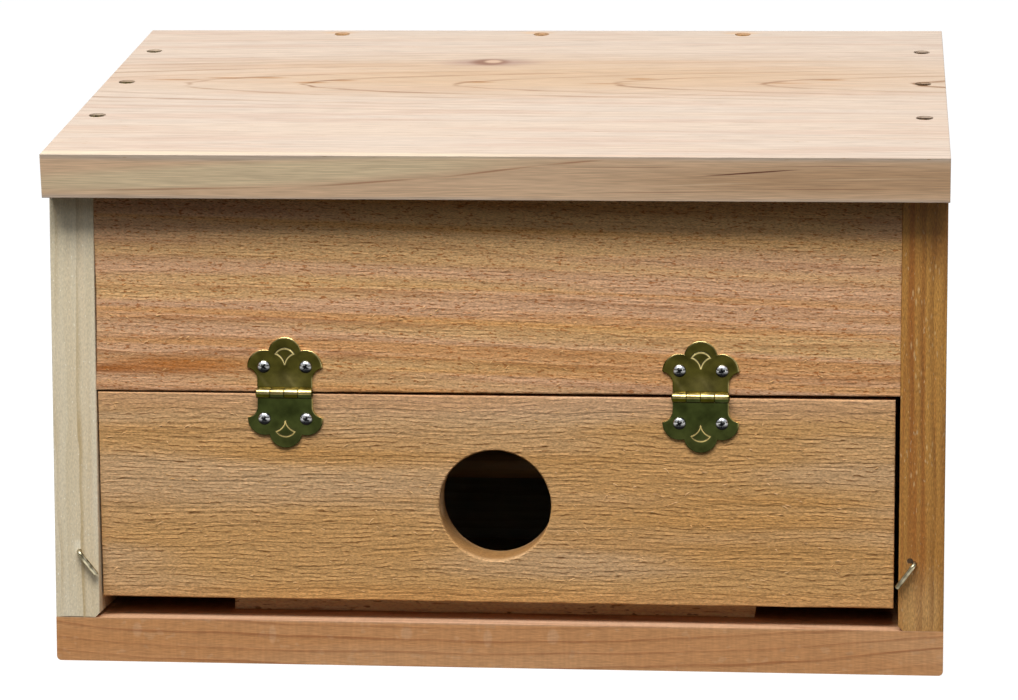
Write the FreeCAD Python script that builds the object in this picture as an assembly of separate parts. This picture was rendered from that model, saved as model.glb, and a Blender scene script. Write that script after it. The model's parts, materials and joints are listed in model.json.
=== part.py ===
import FreeCAD, Part
import math
import os

# Bird roosting box: a cedar box with a lean-to roof, a front door that swings up on two
# stamped brass hinges, perches inside, and two bent-wire hooks that turn over the door's edges.
# Millimetres. X runs to the right, Y from front to back, Z up.
# The origin is the middle of the base's underside.

# Boards
stock = 19.05
box_width = 381.0
box_depth = 234.95
side_front_height = 184.5
side_back_height = 225.5
roof_run = 254.0
roof_side_overhang = 0.5
board_ease = 0.2
side_ease = 0.3
side_foot_chamfer = 2.0
base_corner_round = 2.0

# Door, which leans in until it meets the strip behind it, and the seam above, which widens to the right
floor_gap = 8.3
door_height = 89.85
door_lean = 3.0
door_gap_left = 0.7
door_gap_right = 2.0
seam_left = 0.7
seam_right = 1.55
door_ease = 0.4
entrance_diameter = 48.0
entrance_height = 69.6

# Strip on the floor that stops the door from swinging inwards
stop_length = 230.0
stop_offset = -1.5
stop_section = 19.05
stop_end_slant = 3.5
stop_clearance = 0.3

# Perches: distance behind the front face and height above the underside, at the dowel's centre
perch_diameter = 12.7
perch_socket_depth = 8.0
perch_fit = 0.1
perch_low_setback = 100.0
perch_low_height = 73.0
perch_front_setback = 62.0
perch_front_height = 140.0
perch_rear_setback = 160.0
perch_rear_height = 152.0

# Countersunk wood screws
screw_length = 38.1
stop_screw_length = 31.75
screw_shank_diameter = 3.5
screw_head_diameter = 7.4
screw_head_rim = 0.4
screw_cone_angle = 82.0
screw_point = 5.0
screw_sink = 0.9
screw_fit = 0.05
bore_overrun = 3.0

# Screw places
row_count = 3
pair_count = 2
roof_screw_first = 72.5
roof_screw_pitch = 66.8
roof_back_screw_pitch = 96.5
roof_back_screw_inset = 8.4
floor_screw_pitch = 80.0
floor_back_screw_pitch = 100.0
stop_screw_pitch = 140.0
back_screw_low = 70.0
back_screw_pitch = 100.0
front_screw_low = 142.0
front_screw_pitch = 40.0

# Holes through the back for hanging the box on a wall or post
hang_hole_diameter = 5.5
hang_hole_spacing = 254.0
hang_hole_height = 48.0

# Stamped hinges: two alike leaves rolled round one pin
hinge_spacing = 177.2
hinge_offset = -0.9
leaf_thickness = 0.9
leaf_length = 23.9
leaf_neck = 5.7
leaf_lobe_radius = 7.2
leaf_tip_drop = 0.4
leaf_screw_reach = 9.0
leaf_screw_rise = 11.25
knuckle_length = 23.8
knuckle_count = 4
knuckle_gap = 0.15
knuckle_standoff = 0.3
knuckle_notch = 0.4
roll_seam = 0.25
roll_seam_start = 0.65
hinge_pin_diameter = 2.5
hinge_pin_fit = 0.05
hinge_pin_proud = 0.4
hinge_pin_ease = 0.3

# Pan-head screws of the hinges
pan_head_diameter = 5.5
pan_head_height = 1.7
pan_head_edge = 0.6
pan_dome_angle = 50.0
pan_dome_share = 0.7
pan_shank_diameter = 2.6
pan_screw_length = 14.0
pan_point = 3.0
pan_hole_fit = 0.2

# Hooks of bent wire: reach from the box's middle, and drop from level that clears the door
hook_left_reach = 179.8
hook_left_drop = 51.0
hook_right_reach = 178.0
hook_right_drop = 54.0
hook_height = 47.9
hook_wire_diameter = 2.1
hook_embed = 25.0
hook_arm = 12.6
hook_bend_radius = 2.0
hook_standoff = 0.3
hook_fit = 0.05
hook_socket_room = 0.4
hook_tip_ease = 0.3

# Lengths closer than this count as the same
same_length = 0.01

# Worked-out places
V = FreeCAD.Vector
half_width = box_width / 2
inner_half = half_width - stock
side_middle = half_width - stock / 2
front = -box_depth / 2
back = box_depth / 2
slope = math.atan2(side_back_height - side_front_height, box_depth)
roof_drop = stock / math.cos(slope)
door_low = stock + floor_gap
door_top = door_low + door_height
door_left = -inner_half + door_gap_left
door_right = inner_half - door_gap_right
knuckle_radius = hinge_pin_diameter / 2 + hinge_pin_fit + leaf_thickness
knuckle_pitch = (knuckle_length + knuckle_gap) / knuckle_count
pin_reach = knuckle_standoff + knuckle_radius
lean = math.radians(door_lean)
lintel = door_top + pin_reach * math.sin(lean)
pin_height = (door_top + lintel) / 2 + (seam_left + seam_right) / 4
stop_face = front - pin_reach + (pin_reach + stock) * math.cos(lean) + stop_clearance
stop_face += (pin_height - door_low) * math.sin(lean)
roof_front = back - roof_run * math.cos(slope)


def underside(y):
    """Height of the roof's underside at a depth."""
    return stock + side_front_height + (y - front) * math.tan(slope)


def block(x0, x1, y0, y1, z0, z1):
    """A rectangular board between two corners."""
    return Part.makeBox(x1 - x0, y1 - y0, z1 - z0, V(x0, y0, z0))


def slab(outline, x0, x1):
    """A board with the same (y, z) outline all the way from x0 to x1."""
    corners = [V(x0, y, z) for y, z in outline]
    return Part.Face(Part.makePolygon(corners + corners[:1])).extrude(V(x1 - x0, 0, 0))


def turned(outline):
    """A solid turned about Z from (radius, height) corners."""
    corners = [V(r, 0, z) for r, z in outline]
    return Part.Face(Part.makePolygon(corners + corners[:1])).revolve(V(0, 0, 0), V(0, 0, 1), 360)


def aimed(shape, point, direction):
    """A copy with its local Z turned along a direction and its origin at a point."""
    copy = shape.copy()
    copy.Placement = FreeCAD.Placement(point, FreeCAD.Rotation(V(0, 0, 1), direction))
    return copy


def edges_where(shape, test):
    """The edges whose two ends both pass a test."""
    return [e for e in shape.Edges if all(test(v.Point) for v in e.Vertexes)]


def near(a, b):
    """True where two lengths are the same."""
    return abs(a - b) < same_length


def wood_screw(length):
    """A countersunk screw, head at the origin, driven along +Z."""
    shank = screw_shank_diameter / 2
    head = screw_head_diameter / 2
    neck = screw_head_rim + (head - shank) / math.tan(math.radians(screw_cone_angle / 2))
    outline = [(0, 0), (head, 0), (head, screw_head_rim), (shank, neck)]
    return turned(outline + [(shank, length - screw_point), (0, length)])


def wood_screw_bore(length):
    """The hole for that screw: open above the head, countersunk, and a little wide all round."""
    shank = screw_shank_diameter / 2 + screw_fit
    head = screw_head_diameter / 2 + screw_fit
    neck = screw_head_rim + (head - shank) / math.tan(math.radians(screw_cone_angle / 2))
    mouth = -screw_sink - bore_overrun
    outline = [(0, mouth), (head, mouth), (head, screw_head_rim), (shank, neck)]
    return turned(outline + [(shank, length), (0, length)])


def pan_screw():
    """A pan-head screw that seats at the origin, driven along +Z, with a domed head."""
    shank = pan_shank_diameter / 2
    head = pan_head_diameter / 2
    crown = V(0, 0, -pan_head_height)
    rim = V(head, 0, -pan_head_edge)
    shoulder_rise = pan_head_edge + (pan_head_height - pan_head_edge) * pan_dome_share
    shoulder = V(head * math.sin(math.radians(pan_dome_angle)), 0, -shoulder_rise)
    dome = Part.Arc(crown, shoulder, rim).toShape()
    seat = [V(head, 0, 0), V(shank, 0, 0)]
    point = [V(shank, 0, pan_screw_length - pan_point), V(0, 0, pan_screw_length)]
    outline = [rim] + seat + point + [crown]
    sides = [Part.makeLine(a, b) for a, b in zip(outline, outline[1:])]
    return Part.Face(Part.Wire([dome] + sides)).revolve(V(0, 0, 0), V(0, 0, 1), 360)


def roof_board():
    """The lean-to roof: front edge square to the slope, rear edge plumb with the back."""
    top_front = (roof_front, underside(roof_front) + roof_drop)
    low_front = (top_front[0] + stock * math.sin(slope), top_front[1] - stock * math.cos(slope))
    outline = [low_front, (back, underside(back)), (back, underside(back) + roof_drop), top_front]
    reach = half_width + roof_side_overhang
    board = slab(outline, -reach, reach)
    return board.makeChamfer(board_ease, board.Edges)


def floor_board():
    """The base, under the sides, with the lower corners of its two ends rounded."""
    board = block(-half_width, half_width, front, back, 0, stock)
    low = edges_where(board, lambda p: near(p.z, 0))
    return board.makeFillet(base_corner_round, [e for e in low if near(e.BoundBox.XLength, 0)])


def side_board(sign):
    """A side: it stands on the base, its top cut to the roof's slope. sign is -1 left, 1 right.

    Its front arrises are eased, and its inner lower edge is planed off.
    """
    outline = [(front, stock), (back, stock), (back, underside(back)), (front, underside(front))]
    outer = sign * half_width
    inner = sign * inner_half
    board = slab(outline, min(outer, inner), max(outer, inner))
    foot = edges_where(board, lambda p: near(p.z, stock) and near(p.x, inner))
    board = board.makeChamfer(side_foot_chamfer, foot)
    arrises = edges_where(board, lambda p: near(p.y, front))
    return board.makeChamfer(side_ease, [e for e in arrises if e.BoundBox.ZLength > stock])


def back_board():
    """The back, between the sides, drilled for two hanging screws."""
    inside = back - stock
    outline = [(inside, stock), (back, stock), (back, underside(back)), (inside, underside(inside))]
    board = slab(outline, -inner_half, inner_half)
    for sign in (-1, 1):
        place = V(sign * hang_hole_spacing / 2, inside, hang_hole_height)
        board = board.cut(Part.makeCylinder(hang_hole_diameter / 2, stock, place, V(0, 1, 0)))
    return board


def upper_front_board():
    """The fixed front board: top cut to the slope, lower edge a little out of level."""
    inside = front + stock
    low = lintel + min(seam_left, seam_right)
    outline = [(front, low), (inside, low), (inside, underside(inside)), (front, underside(front))]
    board = slab(outline, -inner_half, inner_half)
    corners = [V(-inner_half, front, low), V(-inner_half, front, lintel + seam_left),
               V(inner_half, front, lintel + seam_right), V(inner_half, front, low)]
    used = [p for i, p in enumerate(corners) if not p.isEqual(corners[i - 1], same_length)]
    wedge = Part.Face(Part.makePolygon(used + used[:1])).extrude(V(0, stock, 0))
    return board.cut(wedge)


def door_board():
    """The door, top edge planed level for its lean, front arrises eased, with the round entrance."""
    inside = front + stock
    planed = door_top - stock * math.tan(lean)
    outline = [(front, door_low), (inside, door_low), (inside, planed), (front, door_top)]
    board = slab(outline, door_left, door_right)
    face = edges_where(board, lambda p: near(p.y, front))
    board = board.makeChamfer(door_ease, face)
    hole = Part.makeCylinder(entrance_diameter / 2, stock, V(0, front, entrance_height), V(0, 1, 0))
    board = board.cut(hole)
    rims = [e for e in board.Edges if near(e.BoundBox.XLength, entrance_diameter)]
    return board.makeChamfer(door_ease, [e for e in rims if near(e.BoundBox.YMin, front)])


def stop_strip():
    """The strip on the floor behind the door, its right end sawn on a slant."""
    left = stop_offset - stop_length / 2
    right = stop_offset + stop_length / 2
    corners = [V(left, stop_face, stock), V(right - stop_end_slant, stop_face, stock),
               V(right, stop_face, stock + stop_section), V(left, stop_face, stock + stop_section)]
    return Part.Face(Part.makePolygon(corners + corners[:1])).extrude(V(0, stop_section, 0))


def perch(setback, height, growth=0.0):
    """A dowel from side to side, its ends in sockets. growth widens it into the sockets' own shape."""
    reach = inner_half + perch_socket_depth - perch_fit + growth
    start = V(-reach, front + setback, height)
    return Part.makeCylinder(perch_diameter / 2 + growth, 2 * reach, start, V(1, 0, 0))


def mirrored(point):
    """The same point on the other side of the leaf's middle line."""
    return V(-point.x, point.y, point.z)


def leaf_outline():
    """Half of the leaf's edge from the knuckles to the crown: lines and three-point arcs.

    The pin lies along X at the origin. The side lobes are round the screws and the crown has
    the same radius; a hollow flare joins the straight neck to each side lobe's pointed tip.
    """
    neck = V(knuckle_length / 2, 0, leaf_neck)
    lobe = V(leaf_screw_reach, 0, leaf_screw_rise)
    crown = V(0, 0, leaf_length - leaf_lobe_radius)
    tip = lobe + V(math.sqrt(leaf_lobe_radius ** 2 - leaf_tip_drop ** 2), 0, -leaf_tip_drop)
    flare = ((tip.x - neck.x) ** 2 + (tip.z - neck.z) ** 2) / (2 * (tip.x - neck.x))
    turn = math.atan2(tip.z - neck.z, neck.x + flare - tip.x)
    hollow = neck + V(flare * (1 - math.cos(turn / 2)), 0, flare * math.sin(turn / 2))
    between = crown - lobe
    middle = (crown + lobe) * 0.5
    outward = V(between.z, 0, -between.x).normalize()
    notch = middle + outward * math.sqrt(leaf_lobe_radius ** 2 - (between.Length / 2) ** 2)
    belly = lobe + ((tip - lobe) + (notch - lobe)).normalize() * leaf_lobe_radius
    apex = V(0, 0, leaf_length)
    shoulder = crown + ((notch - crown) + (apex - crown)).normalize() * leaf_lobe_radius
    arcs = [(neck, hollow, tip), (tip, belly, notch), (notch, shoulder, apex)]
    return V(knuckle_length / 2, 0, 0), neck, arcs


def hinge_leaf():
    """One stamped leaf on the plane Y = 0, pin along X in front of it, leaf upwards.

    Turned half round about Y it is the other leaf of the hinge, with its knuckles between these.
    """
    foot, neck, arcs = leaf_outline()
    edges = [Part.makeLine(mirrored(foot), foot)]
    for flip in (lambda p: p, mirrored):
        edges.append(Part.makeLine(flip(foot), flip(neck)))
        edges += [Part.Arc(flip(a), flip(b), flip(c)).toShape() for a, b, c in arcs]
    plate = Part.Face(Part.Wire(Part.sortEdges(edges)[0])).extrude(V(0, -leaf_thickness, 0))
    along = V(1, 0, 0)
    width = knuckle_pitch - knuckle_gap
    bore = hinge_pin_diameter / 2 + hinge_pin_fit
    leaf = plate
    for index in range(knuckle_count):
        left = index * knuckle_pitch - knuckle_length / 2
        if index % 2:
            gap = block(left - knuckle_gap, left + width + knuckle_gap, -leaf_thickness, 0,
                        0, knuckle_radius + knuckle_notch)
            leaf = leaf.cut(gap)
        else:
            leaf = leaf.fuse(Part.makeCylinder(knuckle_radius, width, V(left, -pin_reach, 0), along))
            seam = block(left, left + width, -leaf_thickness - roll_seam, -leaf_thickness,
                         roll_seam_start, knuckle_radius)
            leaf = leaf.cut(seam)
    leaf = leaf.cut(Part.makeCylinder(bore, knuckle_length, V(-knuckle_length / 2, -pin_reach, 0), along))
    for sign in (-1, 1):
        place = V(sign * leaf_screw_reach, -leaf_thickness, leaf_screw_rise)
        hole = Part.makeCylinder(pan_shank_diameter / 2 + pan_hole_fit, leaf_thickness, place, V(0, 1, 0))
        leaf = leaf.cut(hole)
    return leaf.removeSplitter()


def hinge_pin(x):
    """The pin of a hinge, its ends a little proud of the knuckles and eased."""
    length = knuckle_length + 2 * hinge_pin_proud
    start = V(x - length / 2, front - pin_reach, pin_height)
    pin = Part.makeCylinder(hinge_pin_diameter / 2, length, start, V(1, 0, 0))
    ends = [e for e in pin.Edges if near(e.BoundBox.XLength, 0)]
    return pin.makeChamfer(hinge_pin_ease, ends)


def hook(place, turn):
    """A square-bend hook: shank in the side's front edge, arm turned down towards the door."""
    wire = hook_wire_diameter / 2
    arm_line = -hook_standoff - hook_bend_radius
    shank = Part.makeCylinder(wire, hook_embed + hook_standoff, V(0, -hook_standoff, 0), V(0, 1, 0))
    section = Part.Face(Part.Wire(Part.makeCircle(wire, V(0, -hook_standoff, 0), V(0, 1, 0))))
    bend = section.revolve(V(hook_bend_radius, -hook_standoff, 0), V(0, 0, 1), 90)
    arm = Part.makeCylinder(wire, hook_arm - hook_bend_radius, V(hook_bend_radius, arm_line, 0), V(1, 0, 0))
    tip = [e for e in arm.Edges if near(e.BoundBox.XMin, hook_arm)]
    whole = shank.fuse([bend, arm.makeChamfer(hook_tip_ease, tip)]).removeSplitter()
    whole.Placement = FreeCAD.Placement(place, FreeCAD.Rotation(V(0, 1, 0), turn))
    return whole


def hook_socket(place):
    """The drilled hole that a hook's shank turns in."""
    depth = hook_embed + hook_socket_room
    return Part.makeCylinder(hook_wire_diameter / 2 + hook_fit, depth, place, V(0, 1, 0))


solids = {
    "roof_board": roof_board(),
    "floor_board": floor_board(),
    "left_side": side_board(-1),
    "right_side": side_board(1),
    "back_board": back_board(),
    "upper_front_board": upper_front_board(),
    "door_board": door_board(),
    "door_stop_strip": stop_strip(),
}


def fasten(node, boards, places, direction, length):
    """Drives a row of wood screws through boards: the screws become a node, the boards get their holes."""
    screws = []
    for place in places:
        head = place + direction * screw_sink
        screws.append(aimed(wood_screw(length), head, direction))
        bore = aimed(wood_screw_bore(length), head, direction)
        for board in boards:
            solids[board] = solids[board].cut(bore)
    solids[node] = Part.makeCompound(screws)


def centred(count, pitch):
    """Evenly spaced places about zero."""
    return [(index - (count - 1) / 2) * pitch for index in range(count)]


def on_roof(x, y):
    """A point on the roof's top face."""
    return V(x, y, underside(y) + roof_drop)


roof_runs = [roof_screw_first + index * roof_screw_pitch for index in range(row_count)]
roof_depths = [roof_front + run * math.cos(slope) for run in roof_runs]
back_row = [on_roof(x, back - roof_back_screw_inset) for x in centred(row_count, roof_back_screw_pitch)]
floor_back_row = [V(x, back - stock / 2, 0) for x in centred(row_count, floor_back_screw_pitch)]
stop_middle = stop_face + stop_section / 2
stop_row = [V(stop_offset + x, stop_middle, 0) for x in centred(pair_count, stop_screw_pitch)]
down = V(0, 0, -1)
up = V(0, 0, 1)

for name, sign in (("left", -1), ("right", 1)):
    side = name + "_side"
    inward = V(-sign, 0, 0)
    outer = sign * half_width
    roof_row = [on_roof(sign * side_middle, y) for y in roof_depths]
    floor_row = [V(sign * side_middle, y, 0) for y in centred(row_count, floor_screw_pitch)]
    back_heights = [back_screw_low + index * back_screw_pitch for index in range(pair_count)]
    front_heights = [front_screw_low + index * front_screw_pitch for index in range(pair_count)]
    fasten("roof_" + name + "_screws", ["roof_board", side], roof_row, down, screw_length)
    fasten("floor_" + name + "_screws", ["floor_board", side], floor_row, up, screw_length)
    fasten("back_" + name + "_screws", [side, "back_board"],
           [V(outer, back - stock / 2, z) for z in back_heights], inward, screw_length)
    fasten("front_" + name + "_screws", [side, "upper_front_board"],
           [V(outer, front + stock / 2, z) for z in front_heights], inward, screw_length)

hooks = {
    "left": (V(-hook_left_reach, front, hook_height), hook_left_drop),
    "right": (V(hook_right_reach, front, hook_height), 180 - hook_right_drop),
}
for name, (place, turn) in hooks.items():
    solids[name + "_side"] = solids[name + "_side"].cut(hook_socket(place))
    solids[name + "_hook"] = hook(place, turn)

fasten("roof_back_screws", ["roof_board", "back_board"], back_row, down, screw_length)
fasten("floor_back_screws", ["floor_board", "back_board"], floor_back_row, up, screw_length)
fasten("stop_strip_screws", ["floor_board", "door_stop_strip"], stop_row, up, stop_screw_length)

perches = {
    "perch_low": (perch_low_setback, perch_low_height),
    "perch_front": (perch_front_setback, perch_front_height),
    "perch_rear": (perch_rear_setback, perch_rear_height),
}
for name, (setback, height) in perches.items():
    solids[name] = perch(setback, height)
    for side in ("left_side", "right_side"):
        solids[side] = solids[side].cut(perch(setback, height, perch_fit))

leaves = (("upper", "upper_front_board", 0, 1), ("lower", "door_board", 180, -1))
for name, sign in (("left", -1), ("right", 1)):
    x = hinge_offset + sign * hinge_spacing / 2
    pin_foot = V(x, front, pin_height)
    solids[name + "_hinge_pin"] = hinge_pin(x)
    for leaf_name, board, turn, rise in leaves:
        leaf = hinge_leaf()
        leaf.Placement = FreeCAD.Placement(pin_foot, FreeCAD.Rotation(V(0, 1, 0), turn))
        solids[name + "_hinge_" + leaf_name + "_leaf"] = leaf
        screws = []
        for reach in (-leaf_screw_reach, leaf_screw_reach):
            seat = pin_foot + V(reach, -leaf_thickness, rise * leaf_screw_rise)
            screws.append(aimed(pan_screw(), seat, V(0, 1, 0)))
            bore_radius = pan_shank_diameter / 2 + screw_fit
            bore = Part.makeCylinder(bore_radius, pan_screw_length, seat, V(0, 1, 0))
            solids[board] = solids[board].cut(bore)
        solids[name + "_hinge_" + leaf_name + "_screws"] = Part.makeCompound(screws)

for node in solids:
    if node == "door_board" or "_lower_" in node:
        solids[node].rotate(V(0, front - pin_reach, pin_height), V(1, 0, 0), door_lean)

os.makedirs("parts", exist_ok=True)
for name, shape in solids.items():
    shape.exportStep("parts/" + name + ".step")
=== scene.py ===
"""Looks of a cedar bird roosting box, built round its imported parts.

The shared frame is in metres: X to the right, Y from front to back, Z up. Sizes in the classes
are millimetres, and make_piece turns them to metres.
"""

import json
import logging
import math
from dataclasses import dataclass, field, replace
from enum import Enum
from functools import cache
from typing import ClassVar

import bpy
import numpy as np
from mathutils import Matrix, Vector


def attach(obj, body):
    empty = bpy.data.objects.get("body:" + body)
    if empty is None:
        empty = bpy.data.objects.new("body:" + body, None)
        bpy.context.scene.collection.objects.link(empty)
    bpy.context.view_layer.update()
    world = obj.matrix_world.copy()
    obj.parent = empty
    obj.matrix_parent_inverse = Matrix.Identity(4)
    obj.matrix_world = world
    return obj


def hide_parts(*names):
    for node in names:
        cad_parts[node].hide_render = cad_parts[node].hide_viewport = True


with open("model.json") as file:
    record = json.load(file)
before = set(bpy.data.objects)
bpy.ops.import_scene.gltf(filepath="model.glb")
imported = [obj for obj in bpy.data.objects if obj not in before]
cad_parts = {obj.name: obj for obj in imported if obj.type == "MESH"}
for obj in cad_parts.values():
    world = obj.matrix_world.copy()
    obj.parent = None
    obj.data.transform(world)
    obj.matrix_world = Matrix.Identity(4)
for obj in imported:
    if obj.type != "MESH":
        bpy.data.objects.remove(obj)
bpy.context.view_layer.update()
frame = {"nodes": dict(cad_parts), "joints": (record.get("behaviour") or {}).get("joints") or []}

# Metres to a millimetre, settings that two kinds of node share, and the angle where shading breaks.
MM = 0.001
SMOOTH = {"interpolation_type": "SMOOTHSTEP"}
COLOURS = {"data_type": "RGBA", "out": 2}
SHARP_EDGE = math.radians(42)
# The closed door's lean, and the boards' thickness in millimetres.
DOOR_LEAN = math.radians(3.0)
STOCK = 19.05
# The number that each point of a metal piece carries: its wear, with painted highlights and painted shade.
WEAR_AND_LIGHT = "wear_and_light"
log = logging.getLogger("roosting_box")

Array = np.ndarray
Tree = bpy.types.NodeTree
Socket = bpy.types.NodeSocket
Colour = tuple[float, float, float, float]
Point = tuple[float, float, float]
Span = tuple[float, float]


class Body(Enum):
    """The bodies that pieces ride on."""

    BOX = "box"
    DOOR = "door"
    HOOK_LEFT = "hook_left"
    HOOK_RIGHT = "hook_right"


class Grain(Enum):
    """The frame axis that a board's grain runs along, as the turn about Y that brings it to X."""

    ALONG_X = 0.0
    ALONG_Z = math.pi / 2


class Hand(Enum):
    """Which side of the box, as the sign of X."""

    LEFT = -1
    RIGHT = 1


class Leaf(Enum):
    """Which leaf of a hinge, as the sign of its rise from the pin."""

    UPPER = 1
    LOWER = -1


class Drive(Enum):
    """The way a screw is driven, as a unit vector of the frame."""

    DOWN = (0.0, 0.0, -1.0)
    UP = (0.0, 0.0, 1.0)
    TO_RIGHT = (1.0, 0.0, 0.0)
    TO_LEFT = (-1.0, 0.0, 0.0)
    INWARDS = (0.0, 1.0, 0.0)


def linear(hex_colour: str) -> Colour:
    """Turns an sRGB hex colour to linear light.

    Args:
        hex_colour: Six hex digits, such as "b4764a".

    Returns:
        Linear red, green and blue, with an alpha of 1.
    """
    srgb = np.array([int(hex_colour[i:i + 2], 16) for i in (0, 2, 4)]) / 255
    light = np.where(srgb <= 0.04045, srgb / 12.92, ((srgb + 0.055) / 1.055) ** 2.4)
    return (*light.tolist(), 1.0)


def add(tree: Tree, kind: str, inputs: dict | None = None, out: int | str = 0,
        **settings: object) -> Socket | None:
    """Adds one shader node.

    Args:
        tree: The node tree that it joins.
        kind: Its type's name without the ShaderNode prefix.
        inputs: Its sockets by name or number: another node's output is linked, a value is set.
        out: Which of its outputs to hand back.
        settings: Its properties.

    Returns:
        The output, or nothing where the node has none.
    """
    node = tree.nodes.new("ShaderNode" + kind)
    for name, value in settings.items():
        setattr(node, name, value)
    for key, value in (inputs or {}).items():
        if isinstance(value, Socket):
            tree.links.new(value, node.inputs[key])
        else:
            node.inputs[key].default_value = value
    return node.outputs[out] if node.outputs else None


def new_material(name: str) -> tuple[bpy.types.Material, Tree]:
    """Starts a node material.

    Args:
        name: The material's name.

    Returns:
        The material, with no nodes, and its tree.
    """
    material = bpy.data.materials.new(name)
    material.use_nodes = True
    material.node_tree.nodes.clear()
    return material, material.node_tree


def streaks(tree: Tree, place: Socket, long: float, wide: float, detail: float = 2.0) -> Socket:
    """Noise from 0 to 1 drawn out along the first axis.

    Args:
        tree: The material's tree.
        place: Coordinates in millimetres, the first along the grain.
        long: Length of a streak in millimetres.
        wide: Width of a streak in millimetres.
        detail: How many finer layers the noise has.

    Returns:
        The noise value.
    """
    drawn = add(tree, "VectorMath", {0: place, 1: (1 / long, 1 / wide, 1 / wide)}, operation="MULTIPLY")
    return add(tree, "TexNoise", {"Vector": drawn, "Scale": 1.0, "Detail": detail})


def circle(count: int) -> Array:
    """Even angles once round, in one row."""
    return np.linspace(0, 2 * np.pi, count, endpoint=False)[None, :]


def smoothstep(low: float, high: float, value: Array) -> Array:
    """Eases from 0 at low to 1 at high: 3t^2 - 2t^3 of the share in between."""
    share = np.clip((value - low) / (high - low), 0, 1)
    return share * share * (3 - 2 * share)


def value_noise(u: Array, v: Array, seed: int) -> Array:
    """Smooth noise over two parameters.

    Random values sit on a lattice of whole numbers, and each point blends the four round it with
    the quintic weight 6t^5 - 15t^4 + 10t^3.

    Args:
        u: First parameter, one unit to a lattice step.
        v: Second parameter.
        seed: Chooses the lattice.

    Returns:
        Values from 0 to 1 in the parameters' shape.
    """
    side = 256
    lattice = np.random.default_rng(seed).random((side, side))
    u0, v0 = np.floor(u).astype(int), np.floor(v).astype(int)
    wu, wv = (t ** 3 * (t * (6 * t - 15) + 10) for t in (u - u0, v - v0))
    u1, v1 = (u0 + 1) % side, (v0 + 1) % side
    u0, v0 = u0 % side, v0 % side
    low = lattice[u0, v0] * (1 - wu) + lattice[u1, v0] * wu
    high = lattice[u0, v1] * (1 - wu) + lattice[u1, v1] * wu
    return low * (1 - wv) + high * wv


def grid_faces(rows: int, cols: int, wrap_cols: bool = False) -> Array:
    """Quads of a grid whose point (row, col) has the number row * cols + col.

    Args:
        rows: Count of rows.
        cols: Count of columns.
        wrap_cols: True where the last column joins the first.

    Returns:
        Point numbers, four to a face.
    """
    row = np.arange(rows - 1)[:, None] * cols
    col = np.arange(cols if wrap_cols else cols - 1)[None, :]
    beside = (col + 1) % cols
    return np.stack([row + col, row + beside, row + cols + beside, row + cols + col], -1).reshape(-1, 4)


def skin(rings: Array) -> tuple[Array, list[Array]]:
    """Closed skins over rings of points: a profile carried along a path.

    Point (station, turn) of a copy joins the next station and the next turn, and each end is
    closed by a fan to the middle of its ring.

    Args:
        rings: Places in the shape (copies, stations, around, 3).

    Returns:
        The points, and the quads and triangles over them.
    """
    copies, stations, around = rings.shape[:3]
    ends = rings[:, [0, -1]].mean(axis=2)
    points = np.concatenate([rings.reshape(copies, -1, 3), ends], axis=1)
    turn = np.arange(around)
    beside = (turn + 1) % around
    last = (stations - 1) * around
    pole = np.full(around, stations * around)
    first_fan = np.stack([beside, turn, pole], -1)
    last_fan = np.stack([last + turn, last + beside, pole + 1], -1)
    fans = np.concatenate([first_fan, last_fan])
    step = (np.arange(copies) * points.shape[1])[:, None, None]
    quads = grid_faces(stations, around, wrap_cols=True) + step
    return points.reshape(-1, 3), [quads.reshape(-1, 4), (fans + step).reshape(-1, 3)]


def enclosed(points: Array, faces: list[Array]) -> float:
    """Six times the volume inside closed faces: the sum of the corners' triple products.

    Args:
        points: Places in millimetres.
        faces: Groups of faces, each an array of point numbers.

    Returns:
        The volume, negative where the faces point inwards.
    """
    fans = [group[:, [0, k, k + 1]] for group in faces for k in range(1, group.shape[1] - 1)]
    corners = points[np.concatenate(fans)]
    return float(np.einsum("ij,ij->", corners[:, 0], np.cross(corners[:, 1], corners[:, 2])))


def make_piece(name: str, points: Array, faces: list[Array],
               values: dict[str, Array] | None = None) -> bpy.types.Object:
    """Puts computed points and faces into a mesh object at the origin.

    Args:
        name: The piece's name.
        points: Places in millimetres.
        faces: Groups of faces, each an array of point numbers; they are turned outwards together.
        values: Named numbers for each point, which the finish reads.

    Returns:
        The new object.
    """
    if enclosed(points, faces) < 0:
        faces = [group[:, ::-1] for group in faces]
    used, numbers = np.unique(np.concatenate([group.ravel() for group in faces]), return_inverse=True)
    sizes = np.concatenate([np.full(len(group), group.shape[1]) for group in faces])
    mesh = bpy.data.meshes.new(name)
    mesh.vertices.add(len(used))
    mesh.loops.add(len(numbers))
    mesh.polygons.add(len(sizes))
    mesh.vertices.foreach_set("co", (points[used] * MM).astype(np.float32).ravel())
    mesh.loops.foreach_set("vertex_index", numbers.ravel().astype(np.int32))
    mesh.polygons.foreach_set("loop_start", (np.cumsum(sizes) - sizes).astype(np.int32))
    for title, numbers_of in (values or {}).items():
        attribute = mesh.attributes.new(title, "FLOAT", "POINT")
        attribute.data.foreach_set("value", numbers_of.ravel()[used].astype(np.float32))
    mesh.update(calc_edges=True)
    mesh.validate()
    mesh.set_sharp_from_angle(angle=SHARP_EDGE)
    piece = bpy.data.objects.new(name, mesh)
    bpy.context.scene.collection.objects.link(piece)
    return piece


def fit(piece: bpy.types.Object, body: Body, slot: str, material: bpy.types.Material, *nodes: str) -> None:
    """Dresses a piece and hands it to the frame.

    Args:
        piece: The finished object.
        body: What it moves with.
        slot: The record's material slot; not used.
        material: Its finish.
        nodes: CAD nodes that it stands for.
    """
    piece.data.materials.append(material)
    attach(piece, body.value)
    if nodes:
        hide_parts(*nodes)
    log.info("%s: %d faces, rides on %s", piece.name, len(piece.data.polygons), body.value)


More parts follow.
